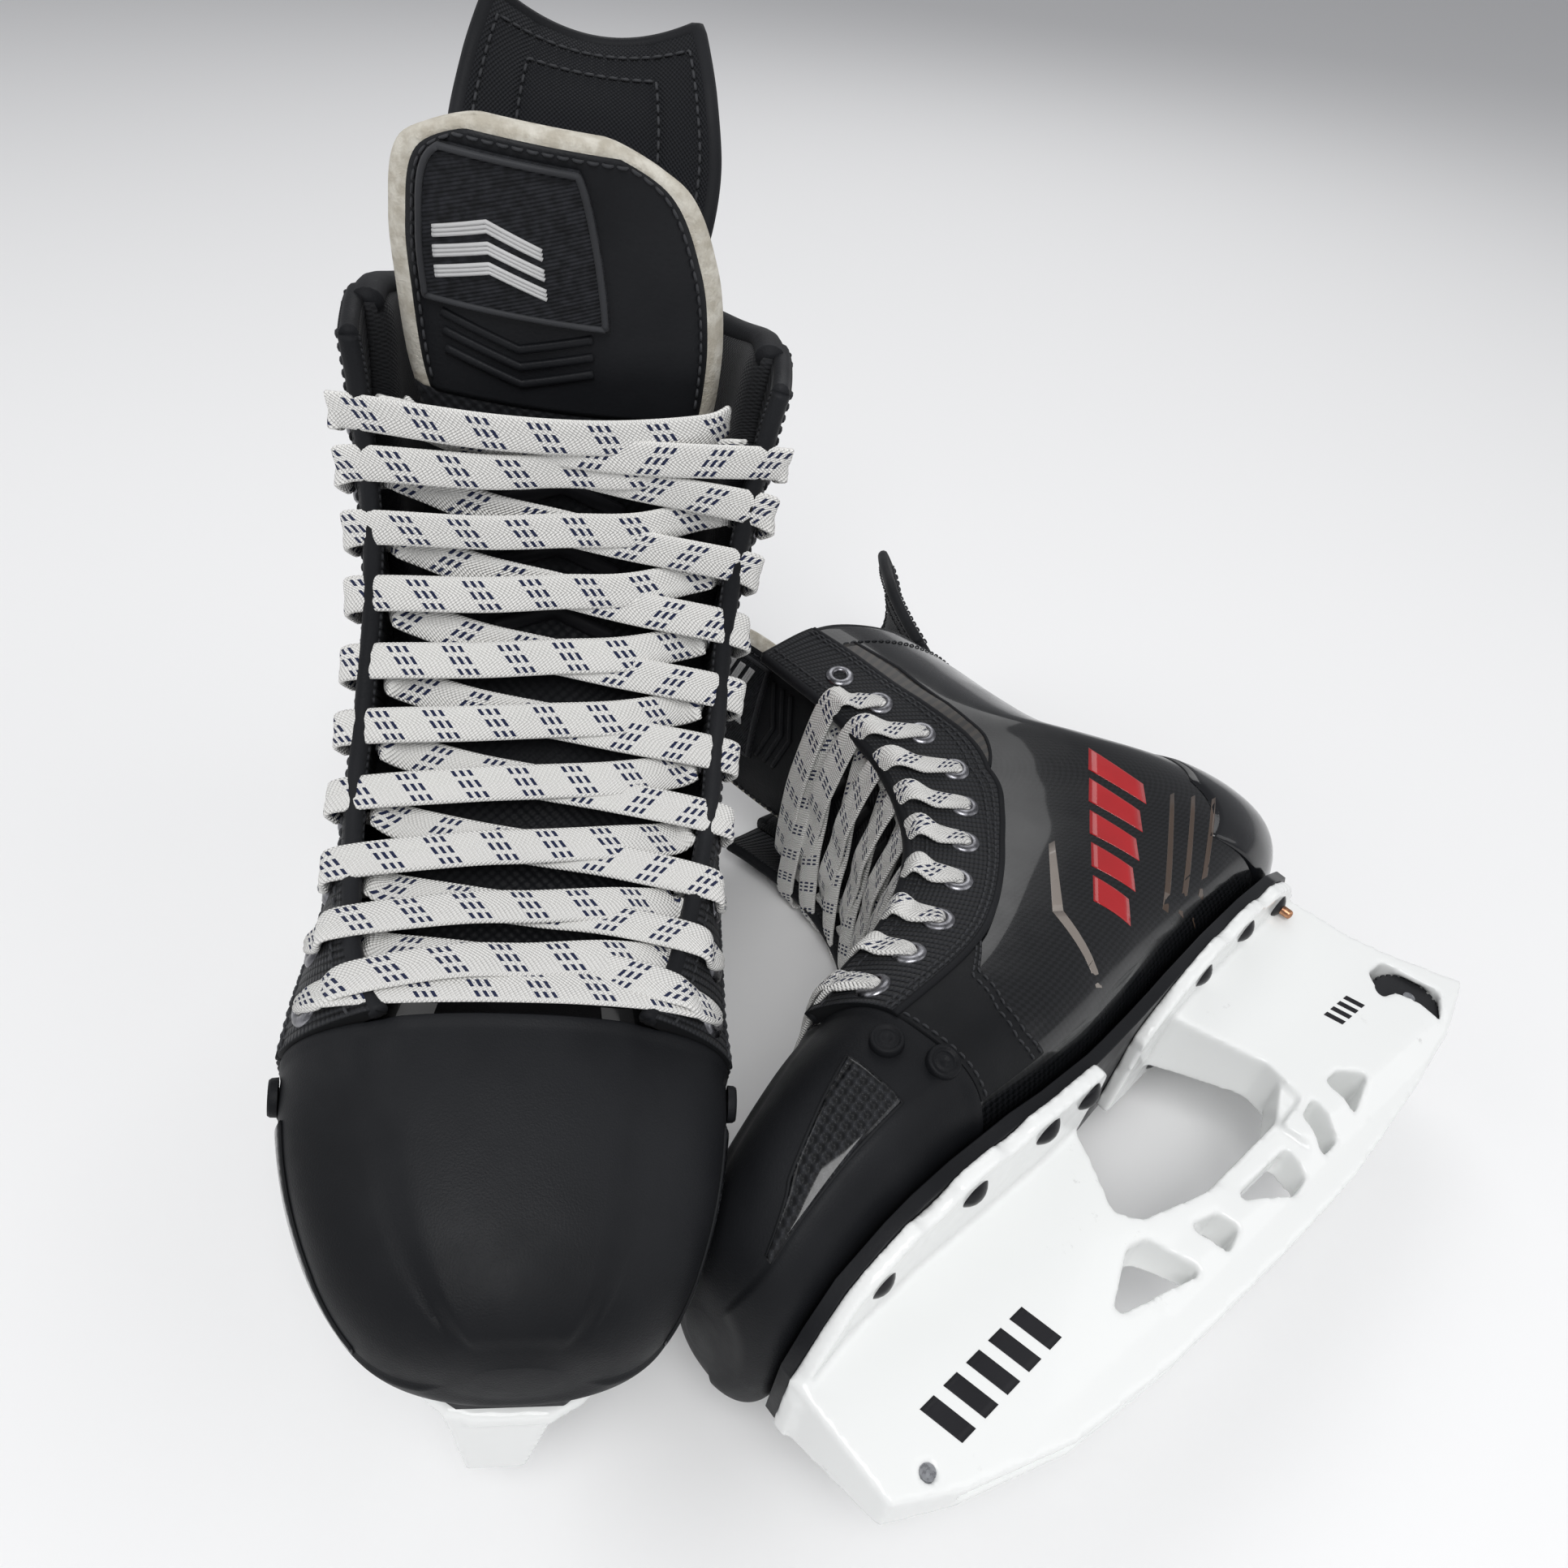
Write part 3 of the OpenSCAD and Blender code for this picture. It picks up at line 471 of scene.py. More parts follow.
# painted highlight and shade: the colour follows the weave height, lighter on the raised cells and darker in the
# hollows
weave.tint(brick, -0.3, 0.5, (0.005, 0.0055, 0.0065), (0.016, 0.017, 0.020))
mesh_mat = Mat("facing_mesh", (0.03, 0.031, 0.034), 0.5, sheen=0.03)
u, v = mesh_mat.uv()
rib = mesh_mat.math("ABSOLUTE", mesh_mat.wave(u, 0.0044))
cross = mesh_mat.math("ABSOLUTE", mesh_mat.wave(v, 0.0028))
hgt = mesh_mat.math("MULTIPLY", rib, mesh_mat.math("ADD", mesh_mat.math("MULTIPLY", cross, 0.45), 0.55))
mesh_mat.bump(hgt, 0.0007, 0.9)
# painted shade: the colour follows the rib height, darker in the grooves between ribs and lighter on the ribs
mesh_mat.tint(hgt, 0.15, 0.75, (0.005, 0.0055, 0.0065), (0.022, 0.023, 0.026))
binding = grainy("binding", (0.007, 0.0075, 0.009), 0.62, grain=1800, depth=0.0002, sheen=0.02)
liner_mat = grainy("lining", (0.013, 0.0135, 0.015), 0.85, grain=3000, depth=0.0003, sheen=0.08)
u, v = liner_mat.uv()
liner_mat.bump(liner_mat.weave(u, v, 0.0016, 0.0016), 0.00025, 0.5)
guard_mat = Mat("guard_cloth", (0.02, 0.021, 0.024), 0.62, sheen=0.04)
u, v = guard_mat.uv()
twill = guard_mat.weave(u, v, 0.0013, 0.0013)
guard_mat.bump(twill, 0.0003, 0.8).bump(guard_mat.noise(90), 0.0008, 0.35)
# painted shade: the colour follows the twill height, darker in its hollows
guard_mat.tint(twill, -0.5, 0.5, (0.006, 0.0065, 0.008), (0.015, 0.016, 0.019))
felt_mat = Mat("felt", (0.62, 0.58, 0.49), 0.95, sheen=0.07)
fz = felt_mat.noise(900, 6.0, rough=0.75)
felt_mat.bump(fz, 0.0009, 0.8).bump(felt_mat.noise(140, 4.0), 0.0012, 0.5)
felt_mat.tint(felt_mat.noise(240, 6.0), 0.35, 0.68, (0.52, 0.48, 0.40), (0.74, 0.71, 0.63))
tongue_mat = grainy("tongue_cloth", (0.007, 0.0075, 0.009), 0.6, grain=1700, depth=0.0002, sheen=0.04)
u, v = tongue_mat.uv()
tongue_mat.bump(tongue_mat.weave(u, v, 0.003, 0.003), 0.0003, 0.7)
cover_mat = grainy("tongue_cover", (0.007, 0.0075, 0.009), 0.5, grain=1300, depth=0.00018)
badge_mat = Mat("badge", (0.03, 0.032, 0.038), 0.7, sheen=0.04)
u, v = badge_mat.uv()
badge_mat.bump(badge_mat.wave(badge_mat.math("ADD", u, badge_mat.math("MULTIPLY", v, 0.4)), 0.0009), 0.0002,
    0.8)
badge_mat.tint(badge_mat.noise(500), 0.3, 0.7, (0.008, 0.0085, 0.010), (0.020, 0.021, 0.025))
thread_mat = grainy("thread", (0.028, 0.029, 0.032), 0.55, grain=4000, depth=0.0001, sheen=0.05)
pale_thread = grainy("pale_thread", (0.46, 0.46, 0.46), 0.5, grain=4000, depth=0.0001, sheen=0.05)
metal = Mat("eyelet_metal", (0.20, 0.20, 0.215), 0.28, metal=1.0)
metal.roughen(metal.span(metal.noise(700), 0.3, 0.7, 0.2, 0.42))
metal.tint(metal.noise(200), 0.35, 0.7, (0.13, 0.13, 0.14), (0.30, 0.30, 0.32))
rivet_mat = grainy("rivet_black", (0.02, 0.02, 0.022), 0.3, grain=1200, depth=0.00006, metal=0.6)
copper = Mat("copper", (0.55, 0.27, 0.15), 0.35, metal=1.0)
copper.tint(copper.noise(500), 0.35, 0.65, (0.30, 0.15, 0.09), (0.62, 0.32, 0.18))
steel = Mat("steel", (0.45, 0.46, 0.48), 0.3, metal=1.0)
steel.roughen(steel.span(steel.noise(900), 0.3, 0.7, 0.2, 0.45))
white_mat = Mat("holder_white", (0.80, 0.81, 0.80), 0.16, coat=0.35, coat_rough=0.05, sub=0.08)
white_mat.roughen(white_mat.span(white_mat.noise(70, 4.0), 0.35, 0.7, 0.13, 0.26))
white_mat.bump(white_mat.noise(28, 2.0), 0.0004, 0.25)
# painted shade: random patches of the white holder are darkened to the grey of its shaded parts
painted_shade_patches = white_mat.math("MULTIPLY", white_mat.span(white_mat.noise(160, 8.0, rough=0.75), 0.60, 0.72, 0.0,
    1.0), white_mat.span(white_mat.noise(18, 2.0), 0.5, 0.65, 0.0, 1.0))
white_mat.paint(white_mat.mix(painted_shade_patches, (0.81, 0.82, 0.81), (0.55, 0.55, 0.54)))
dial_mat = grainy("dial_black", (0.016, 0.0165, 0.018), 0.42, grain=1500, depth=0.0001)
sole_mat = grainy("outsole", (0.009, 0.0095, 0.011), 0.38, grain=900, depth=0.00008)
bed_mat = grainy("footbed", (0.05, 0.05, 0.054), 0.85, grain=1600, depth=0.0003, sheen=0.05)
bronze = Mat("ankle_bronze", (0.02, 0.016, 0.013), 0.34, coat=0.3, coat_rough=0.06)
u, v = bronze.uv()
bronze_slant = bronze.math("ADD", u, bronze.math("MULTIPLY", v, 0.6))
bronze.tint(bronze.wave(bronze_slant, 0.0035), -0.3, 0.6, (0.009, 0.008, 0.0075), (0.024, 0.019, 0.015))
heel_mat = Mat("heel_gloss", (0.007, 0.0075, 0.009), 0.2, coat=0.6)
heel_mat.roughen(heel_mat.span(heel_mat.noise(80), 0.3, 0.7, 0.14, 0.28))
ink = grainy("accent_black", (0.012, 0.012, 0.014), 0.4, grain=2500, depth=0.00003)
red = grainy("accent_red", (0.36, 0.010, 0.013), 0.3, grain=2500, depth=0.00003, coat=0.7)
brown = grainy("accent_brown", (0.052, 0.034, 0.024), 0.3, grain=2500, depth=0.00003, coat=0.7)
silver = grainy("accent_grey", (0.20, 0.175, 0.155), 0.3, grain=2500, depth=0.00003, coat=0.6)
lace_mat = Mat("lace", (0.80, 0.79, 0.75), 0.8, sheen=0.05)
u, v = lace_mat.uv()
cell = 0.0135
row = lace_mat.math("FRACT", lace_mat.math("ADD", lace_mat.math("DIVIDE", u, cell),
    lace_mat.math("MULTIPLY", v, 0.42)))
band = lace_mat.math("FRACT", lace_mat.math("MULTIPLY", row, 7.0))
dash = lace_mat.math("MULTIPLY", lace_mat.math("LESS_THAN", row, 0.42),
    lace_mat.math("LESS_THAN", band, 0.48))
third = lace_mat.math("FRACT", lace_mat.math("MULTIPLY", v, 3.0))
inside = lace_mat.math("MULTIPLY", lace_mat.math("GREATER_THAN", third, 0.18),
    lace_mat.math("LESS_THAN", third, 0.82))
edge = lace_mat.math("MULTIPLY", lace_mat.math("GREATER_THAN", v, 0.10), lace_mat.math("LESS_THAN", v, 0.90))
dash = lace_mat.math("MULTIPLY", lace_mat.math("MULTIPLY", dash, inside), edge)
from_middle = lace_mat.math("ABSOLUTE", lace_mat.math("SUBTRACT", v, 0.5))
herringbone = lace_mat.math("ADD", u, lace_mat.math("MULTIPLY", from_middle, 0.004))
yarn = lace_mat.weave(herringbone, v, 0.0011, 0.125)
lace_mat.bump(yarn, 0.0003, 1.0)
# painted shade: the lace's white follows the yarn height, darker in the hollows of the weave; the blue dashes are
# print
lace_mat.paint(lace_mat.mix(dash, lace_mat.mix(lace_mat.span(yarn, -0.6, 0.8, 0.0, 1.0), (0.80, 0.79, 0.76),
    (0.93, 0.925, 0.90)), (0.02, 0.028, 0.075)))

# ---- Shared lines of the boot -----------------------------------------------------------------
def facing_low(k):
    return np.interp(k, [0, 2.5, 5, 7.5, 9, 11, 15], [0.60, 0.60, 0.655, 0.70, 0.665, 0.62, 0.60])
EYE_K = [0.55, 1.45, 2.4, 3.5, 4.7, 6.0, 7.4, 9.0, 10.8, 12.7]
EYE_A = [0.5 + 0.5 * (0.57 + 0.05 * i / 9) for i in range(10)]
def rect(rows, ks, a0, a1, n, off):
    """Grid over stations ks between two round-the-boot limits, each a number or one per station"""
    ks = np.asarray(ks, float)
    a0, a1 = np.broadcast_to(a0, ks.shape), np.broadcast_to(a1, ks.shape)
    t = lin(0, 1, n)[None, :]
    a = a0[:, None] + (a1 - a0)[:, None] * t
    k = np.repeat(ks[:, None], n, 1)
    o = off(k, a, t) if callable(off) else off
    return skin(rows, k, a, np.broadcast_to(o, k.shape))
def line_on(rows, ks, as_, off):
    ks, as_ = np.broadcast_arrays(np.asarray(ks, float), np.asarray(as_, float))
    return skin(rows, ks, as_, np.full(ks.shape, float(off))), normal(rows, ks, as_)
def puff(t, edge=0.12, power=2.0):
    """0 at both ends of t, 1 in the middle, round at the edges"""
    d = np.minimum(t, 1 - t) / edge
    return np.sqrt(np.clip(1 - (1 - np.clip(d, 0, 1)) ** power, 0, 1))

TONGUE = np.array([[198, 113], [178, 119], [160, 127.5], [145, 139], [134, 153], [125.5, 169], [119.5, 186],
    [116, 203], [115.5, 220], [117, 235], [120, 250], [124, 266], [128, 282], [130, 290]], float)
EDGES = np.array([[24, 24], [32, 32], [33, 33], [34, 34], [34, 34], [34, 34], [34, 34], [34, 34], [34, 34],
    [38, 35], [40, 34], [41, 30], [38, 21], [23, 4]], float)
def tongue_point(k, u, off, inset=0.0):
    k, u, off = np.broadcast_arrays(np.asarray(k, float), np.asarray(u, float), np.asarray(off, float))
    p = row_at(TONGUE, k)
    d = unit(row_at(TONGUE, np.minimum(k + 0.05, 13)) - row_at(TONGUE, np.maximum(k - 0.05, 0)))
    e = row_at(EDGES, k)
    y = (-e[..., 1] + inset) + (e[..., 0] + e[..., 1] - 2 * inset) * u
    depth = off - 0.0038 * y * y
    return np.stack([p[..., 0] + d[..., 1] * depth, y, p[..., 1] - d[..., 0] * depth], -1)
GUARD = np.array([[30.5, 241, 30, 0.016], [27, 257, 34, 0.012], [21, 272, 35, 0.010],
    [12.5, 285, 32.5, 0.009], [2, 297, 28, 0.008]], float)
def guard_point(k, j, off):
    k, j, off = np.broadcast_arrays(np.asarray(k, float), np.asarray(j, float), np.asarray(off, float))
    r = row_at(GUARD, k)
    y = j * r[..., 2]
    crown = 9 * (np.abs(j) ** 2.0 - 0.45) * step(k, 2.2, 4.0)
    return np.stack([r[..., 0] + off + r[..., 3] * y * y, y, r[..., 1] + crown + 0.35 * off], -1)
FACE_INSET = 3.4
def face_point(k, u, h):
    """A point h off the tongue's inset face"""
    return tongue_point(k, u, h, FACE_INSET)
def lifted(point, spots, h, reach=1.0):
    """Points h off a surface at the spots, and the directions outwards there"""
    on = np.array([point(k, j, h) for k, j in spots])
    past = np.array([point(k, j, h + reach) for k, j in spots])
    return on, unit(past - on)
def spread(rows, n):
    """n of the rows, evenly spaced from first to last"""
    return rows[np.linspace(0, len(rows) - 1, n).astype(int)]
def throat_point(k, y, h):
    r = row_at(QUARTER, k)
    q, p = row_at(QUARTER, min(k + 0.2, TOP)), row_at(QUARTER, max(k - 0.2, 0))
    d = unit(np.array([q[0] - p[0], q[1] - p[1]]))
    return np.array([r[0] + d[1] * h, y, r[1] - d[0] * h])
def throat_dir(k):
    q, p = row_at(QUARTER, min(k + 0.2, TOP)), row_at(QUARTER, max(k - 0.2, 0))
    return unit(np.array([q[0] - p[0], 0, q[1] - p[1]]))
def sk(k, a, off):
    return skin(QUARTER, np.array(float(k)), np.array(float(a)), np.array(float(off)))
def strand(i, j, s, lift):
    k0, k1, a0, a1 = EYE_K[i], EYE_K[j], s * EYE_A[i], -s * EYE_A[j]
    km, ke, kf = (k0 + k1) / 2, k0 + 0.15 * (k1 - k0), k0 + 0.85 * (k1 - k0)
    kx, ky = ke + 0.3 * (kf - ke), ke + 0.7 * (kf - ke)
    return [[sk(k0, a0, -1), 0.3, throat_dir(k0)], [sk(k0, a0, 3.0), 0.42, throat_dir(k0)],
        [sk(k0, s * (abs(a0) + 0.45 * (1 - abs(a0))), 3.7), 0.86, throat_dir(k0)],
        [sk(ke, s * 0.99, 3.2), 1, throat_dir(ke)],
        [throat_point(kx, s * 18, lift + 1.2), 1, throat_dir(km)],
        [throat_point(km, 0, lift), 1, throat_dir(km)],
        [throat_point(ky, -s * 18, lift - 0.6), 1, throat_dir(km)],
        [throat_point(kf, -s * 34, -2.6), 1, throat_dir(kf)],
        [sk(k1, -s * 0.97, -5.6), 0.9, throat_dir(k1)],
        [sk(k1, a1, -5.9), 0.35, throat_dir(k1)], [sk(k1, a1, -1), 0.3, throat_dir(k1)]]
def bar():
    k, a = EYE_K[0], EYE_A[0]
    d = throat_dir(k)
    return [[sk(k, a, -1), 0.3, d], [sk(k, a, 3.0), 0.4, d], [sk(k, 0.93, 3.6), 0.9, d],
        [throat_point(k, 18, 2.2), 1, d], [throat_point(k, -18, 2.2), 1, d],
        [sk(k, -0.93, 3.6), 0.9, d], [sk(k, -a, 3.0), 0.4, d], [sk(k, -a, -1), 0.3, d]]
def tail(i, s, rise):
    k0, a0 = EYE_K[i], s * EYE_A[i]
    d = throat_dir(k0)
    return [[sk(k0, a0, -1), 0.3, d], [sk(k0, a0, 3.0), 0.42, d],
        [sk(k0, s * (abs(a0) + 0.45 * (1 - abs(a0))), 3.7), 0.86, d], [sk(k0 + 0.1, s * 0.99, 3.2), 1, d],
        [throat_point(k0 + 0.3 * rise, s * 18, 4.2 + rise), 1, d],
        [throat_point(k0 + 0.5 * rise, -s * 8, 3.4 + rise), 1, d],
        [throat_point(k0 + 0.8 * rise, -s * 30, 0), 1, d],
        [throat_point(k0 + 0.9 * rise, -s * 37, -6), 0.9, d]]
def ribbon(path, width=9.0, thick=1.5, sub=9, seed=0):
    """A flat woven lace through [point, share of the width, direction across it]"""
    p = np.array([q[0] for q in path], float)
    w = np.array([[q[1]] for q in path])
    d = np.array([q[2] for q in path], float)
    k = lin(0, len(path) - 1, (len(path) - 1) * sub + 1)
    P, D = row_at(p, k), unit(row_at(d, k))
    Wd = np.interp(k, np.arange(len(path)), w[:, 0])
    r = np.random.default_rng(seed)
    wob = np.interp(k, np.arange(len(path) + 1) - 0.3, r.normal(0, 0.07, len(path) + 1))
    t = unit(np.gradient(P, axis=0))
    x = unit(D - t * (D * t).sum(1, keepdims=True))
    h = np.cross(t, x)
    x, h = x * np.cos(wob)[:, None] + h * np.sin(wob)[:, None], h * np.cos(wob)[:,
        None] - x * np.sin(wob)[:, None]
    cs = [(-1, 0), (-0.94, 0.38), (-0.8, 0.5), (-0.4, 0.62), (0, 0.5), (0.4, 0.62), (0.8, 0.5), (0.94, 0.38),
        (1, 0), (0.94, -0.38), (0.8, -0.5), (0.4, -0.6), (0, -0.5), (-0.4, -0.6), (-0.8, -0.5),
        (-0.94, -0.38)]
    n = len(cs)
    fat = 1 + 1.5 * (1 - Wd)
    v = np.stack([P + x * (c * width / 2 * Wd)[:, None] + h * (e * thick * fat)[:, None] for c, e in cs], 1)
    m = len(P)
    f = [(i * n + j, i * n + (j + 1) % n, (i + 1) * n + (j + 1) % n,
        (i + 1) * n + j) for i in range(m - 1) for j in range(n)]
    f += [tuple(range(n))[::-1], tuple((m - 1) * n + j for j in range(n))]
    s = np.concatenate([[0], np.cumsum(np.linalg.norm(np.diff(P, axis=0), axis=1))]) / 1000 + seed * 0.0031
    uv = np.stack([np.repeat(s, n), np.tile([(c + 1) / 2 for c, e in cs], m)], -1)
    return v.reshape(-1, 3), f, uv

# The holder: plan outlines and sole line, as on the CAD part
def sole_z(x):
    return np.interp(x, [6, 24, 56, 81, 110, 140, 163, 188, 214, 239, 255, 272],
        [81.5, 80.3, 77.3, 74.5, 70, 65, 62.3, 61, 60.3, 59, 56.5, 52.5])
FRONT_RIVETS = [[240, 25], [209, 31.5], [180, 33], [160, 32]]
REAR_RIVETS = [[82, 22.5], [54, 24]]
HEEL_RIVET = [24, 16.5]
def below(x, y, drop):
    """Point and outward direction on the flange's underside"""
    s = (sole_z(x + 5) - sole_z(x - 5)) / 10
    n = unit(np.array([s, 0, -1.0]))
    return np.array([x, y + float(swing(np.array(float(x)))), sole_z(x) - 4.5]) + n * drop, n

RIVET_DOME = [[0, 2.1], [0.8, 2.08], [2.0, 1.8], [3.2, 1.2], [4.1, 0.5], [4.6, 0.0], [4.6, -0.3]]
SHANK = [[1.7, 1.0], [1.7, 4.6], [1.5, 5.2], [0.9, 5.6], [0, 5.7]]
def rivet_heads(spots):
    heads = []
    for x, y in spots:
        for s in (-1, 1):
            p, outward = below(x, s * y, 0.0)
            heads.append(stood(lathe(RIVET_DOME, 32), p, outward))
    return join(heads)
def cad_copy(node, mat, slot_name, bevel=0.3):
    o = frame["nodes"][node]
    c = bpy.data.objects.new(node + "_fine", o.data.copy())
    scene.collection.objects.link(c)
    c.data.materials.clear()
    c.data.materials.append(mat.m)
    for p in c.data.polygons:
        p.use_smooth = True
    bm = bmesh.new()
    bm.from_mesh(c.data)
    bmesh.ops.remove_doubles(bm, verts=bm.verts, dist=1e-6)
    bm.to_mesh(c.data)
    bm.free()
    if bevel:
        b = c.modifiers.new("round", "BEVEL")
        b.width, b.segments, b.limit_method, b.angle_limit = bevel / 1000, 3, "ANGLE", math.radians(35)
    w = c.modifiers.new("even", "WEIGHTED_NORMAL")
    w.keep_sharp = True
    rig.ride(c, o["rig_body"])
    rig.replaces(c, node)
    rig.slot(c, slot_name)
    return c
def bake(o):
    dg = bpy.context.evaluated_depsgraph_get()
    dg.update()
    me = bpy.data.meshes.new_from_object(o.evaluated_get(dg))
    o.modifiers.clear()
    o.data = me

def make_quarter_shell(side):
    """Shell of the quarter"""
    ks, cols = lin(0, TOP, 106), 65
    slab("quarter", side, rect(QUARTER, ks, -0.74, 0.74, cols, 0.0),
        rect(QUARTER, ks, -0.74, 0.74, cols, -3.0),
        "boots", ["boot_shell"], composite, "composite", bevel=0.5)
def make_padded_lining(side):
    """Padded liner, thinner in front, swelling round the ankle and rolled at the collar"""
    lk = lin(4, TOP, 76)
    def inner(k, a, t):
        swell = 1.5 * np.exp(-((k - 12.2) / 1.6) ** 2) * np.exp(-((np.abs(a) - 0.45) / 0.18) ** 2)
        return -(4.0 + (5.0 + swell) * puff(t, 0.08) * step(k, 3.9, 4.6) *
            (0.45 + 0.55 * puff((k - 4) / 11.0001, 0.06)))
    lin_o = slab("lining", side, rect(QUARTER, lk, -0.72, 0.72, 61, -3.0),
        rect(QUARTER, lk, -0.72, 0.72, 61, inner), "boots", ["ankle_liner"], liner_mat, "liner", bevel=0)
    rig.padded(lin_o, fill=0.9)
def make_collar_piping(side):
    """Collar piping over shell and lining"""
    a = lin(-0.70, 0.70, 120)
    p, q = line_on(QUARTER, np.full(120, 15.0), a, -3.6)
    roll = tube(p + [0, 0, 0.2], 3.0, 14, flat=1.25, normals=q)
    add_mesh("collar_roll", side, *roll, "boots", [], binding, "liner")
    seam, seam_normals = line_on(QUARTER, np.full(120, 14.35), a * 0.9, 0.25)
    add_mesh("collar_thread_out", side, *stitches(seam, seam_normals, 3.2, 2.3, 0.38), "boots", [],
        thread_mat, "liner")
def make_toe_cap(side):
    """Toe cap with its raised middle panel and a bumper along the sole"""
    ck, ca = lin(0, 6, 73), np.concatenate([lin(-1, 1, 145)[:-1]])
    K, A = np.meshgrid(ck, ca, indexing="ij")
    mid = 0.845 + 0.02 * np.clip((3 - K) / 3, 0, 1)
    raised = 0.9 * step(np.abs(A), mid - 0.012, mid + 0.012) * step(K, 0.7, 1.2)
    bumper = 0.9 * (1 - step(np.abs(A), 0.405, 0.43)) * step(K, 0.5, 1.0)
    groove = -0.5 * np.exp(-((np.abs(A) - mid + 0.035) / 0.008) ** 2) * step(K, 1.0, 1.6)
    lip = 0.5 * step(K, 5.72, 5.82)
    outer = skin(CAP, K, A, raised + bumper + groove + lip)
    inn = skin(CAP, K, A, np.full(K.shape, -3.0))
    nj = len(ca)
    ni = len(ck)
    n = ni * nj
    o = lambda i, j: i * nj + j % nj
    f = []
    for i in range(ni - 1):
        for j in range(nj):
            f.append((o(i, j), o(i, j + 1), o(i + 1, j + 1), o(i + 1, j)))
            f.append((n + o(i, j), n + o(i + 1, j), n + o(i + 1, j + 1), n + o(i, j + 1)))
    for j in range(nj):
        f.append((o(ni - 1, j), n + o(ni - 1, j), n + o(ni - 1, j + 1), o(ni - 1, j + 1)))
    f.append(tuple(o(0, j) for j in range(nj))[::-1])
    f.append(tuple(n + o(0, j) for j in range(nj)))
    uv = np.concatenate([grid_uv(outer).reshape(-1, 2)] * 2)
    add_mesh("toe_cap_fine", side, np.concatenate([outer.reshape(-1, 3), inn.reshape(-1, 3)]), f, uv,
        "boots", ["toe_cap"], cap_mat, "toe_cap", bevel=0.4)
def make_woven_insets(side):
    """Woven inset on each side of the cap, in a thin frame"""
    parts, rims = [], []
    for s in (-1, 1):
        wk = lin(2.2, 4.95, 60)
        lo = 0.42 + 0 * wk
        hi = np.interp(wk, [2.2, 3.2, 4.2, 4.95], [0.45, 0.505, 0.55, 0.575])
        a0, a1 = (s * lo, s * hi) if s > 0 else (s * hi, s * lo)
        fo = lambda k, a, t: 0.15 + 0.65 * puff(t, 0.12)
        parts.append(slab_data(rect(CAP, wk, a0, a1, 17, fo), rect(CAP, wk, a0, a1, 17, -0.4)))
        ring = np.concatenate([np.stack([wk, s * lo], -1),
            np.stack([np.full(9, 4.95), s * lin(lo[-1], hi[-1], 9)], -1)[1:],
            np.stack([wk, s * hi], -1)[::-1][1:]])
        pr, qr = line_on(CAP, ring[:, 0], ring[:, 1], 0.25)
        rims.append(tube(pr, 0.55, 8, flat=0.8, normals=qr))
    add_mesh("woven_inset", side, *join(parts), "boots", ["cap_panels"], weave, "cap_panel")
    add_mesh("inset_frame", side, *join(rims), "boots", [], overlay_mat, "toe_cap")
def make_cap_buttons(side):
    """Buttons: a rimmed disc with a dimple"""
    prof = [[0, 1.0], [0.9, 1.05], [1.3, 1.35], [2.1, 1.4], [2.5, 1.1], [3.2, 1.1], [3.5, 1.7], [4.1, 1.75],
        [4.5, 1.1], [4.6, -0.4]]
    bt = []
    for s in (-1, 1):
        for k, aa in ((5.45, 0.52), (5.75, 0.43)):
            P, N = line_on(CAP, [k], [s * aa], 0.6)
            bt.append(stood(lathe(prof, 36), P[0], N[0]))
    add_mesh("buttons", side, *join(bt), "boots", ["cap_buttons"], cap_mat, "button")
def make_vamp_overlay(side):
    """Vamp overlay: leather wing behind the cap, with a double row of thread"""
    parts, thr = [], []
    for s in (-1, 1):
        t = lin(0, 1, 40)
        lo_a, hi_a = 0.26, 0.74
        aa = lin(lo_a, hi_a, 40)
        k1 = np.interp(aa, [0.26, 0.36, 0.45, 0.52, 0.60, 0.74], [1.15, 1.1, 1.25, 1.7, 2.35, 2.7])
        kk = lin(0, 1, 30)[:, None] * k1[None, :] - 0.02
        A2 = np.repeat(s * aa[None, :], 30, 0)
        pf = 0.35 + 0.85 * puff(np.repeat(lin(0, 1, 30)[:, None], 40, 1), 0.05)
        parts.append(slab_data(skin(QUARTER, np.maximum(kk, 0), A2, pf),
            skin(QUARTER, np.maximum(kk, 0), A2, np.full(kk.shape, -0.3))))
        for inset in (0.10, 0.24):
            pk, qk = line_on(QUARTER, np.maximum(k1 - inset, 0.02), s * aa, 1.25)
            thr.append(stitches(resample(pk, 0.8),
                spread(qk, len(resample(pk, 0.8))), 2.9, 2.1, 0.36))
        kq = lin(0.0, 0.0, 40) + 0.13
        pk, qk = line_on(QUARTER, kq, s * aa, 1.25)
        rp = resample(pk, 0.8)
        thr.append(stitches(rp, spread(qk, len(rp)), 2.9, 2.1, 0.36))
    add_mesh("vamp_wing", side, *join(parts), "boots", ["vamp_overlay"], overlay_mat, "overlay", bevel=0.3)
    add_mesh("vamp_thread", side, *join(thr), "boots", [], thread_mat, "overlay")
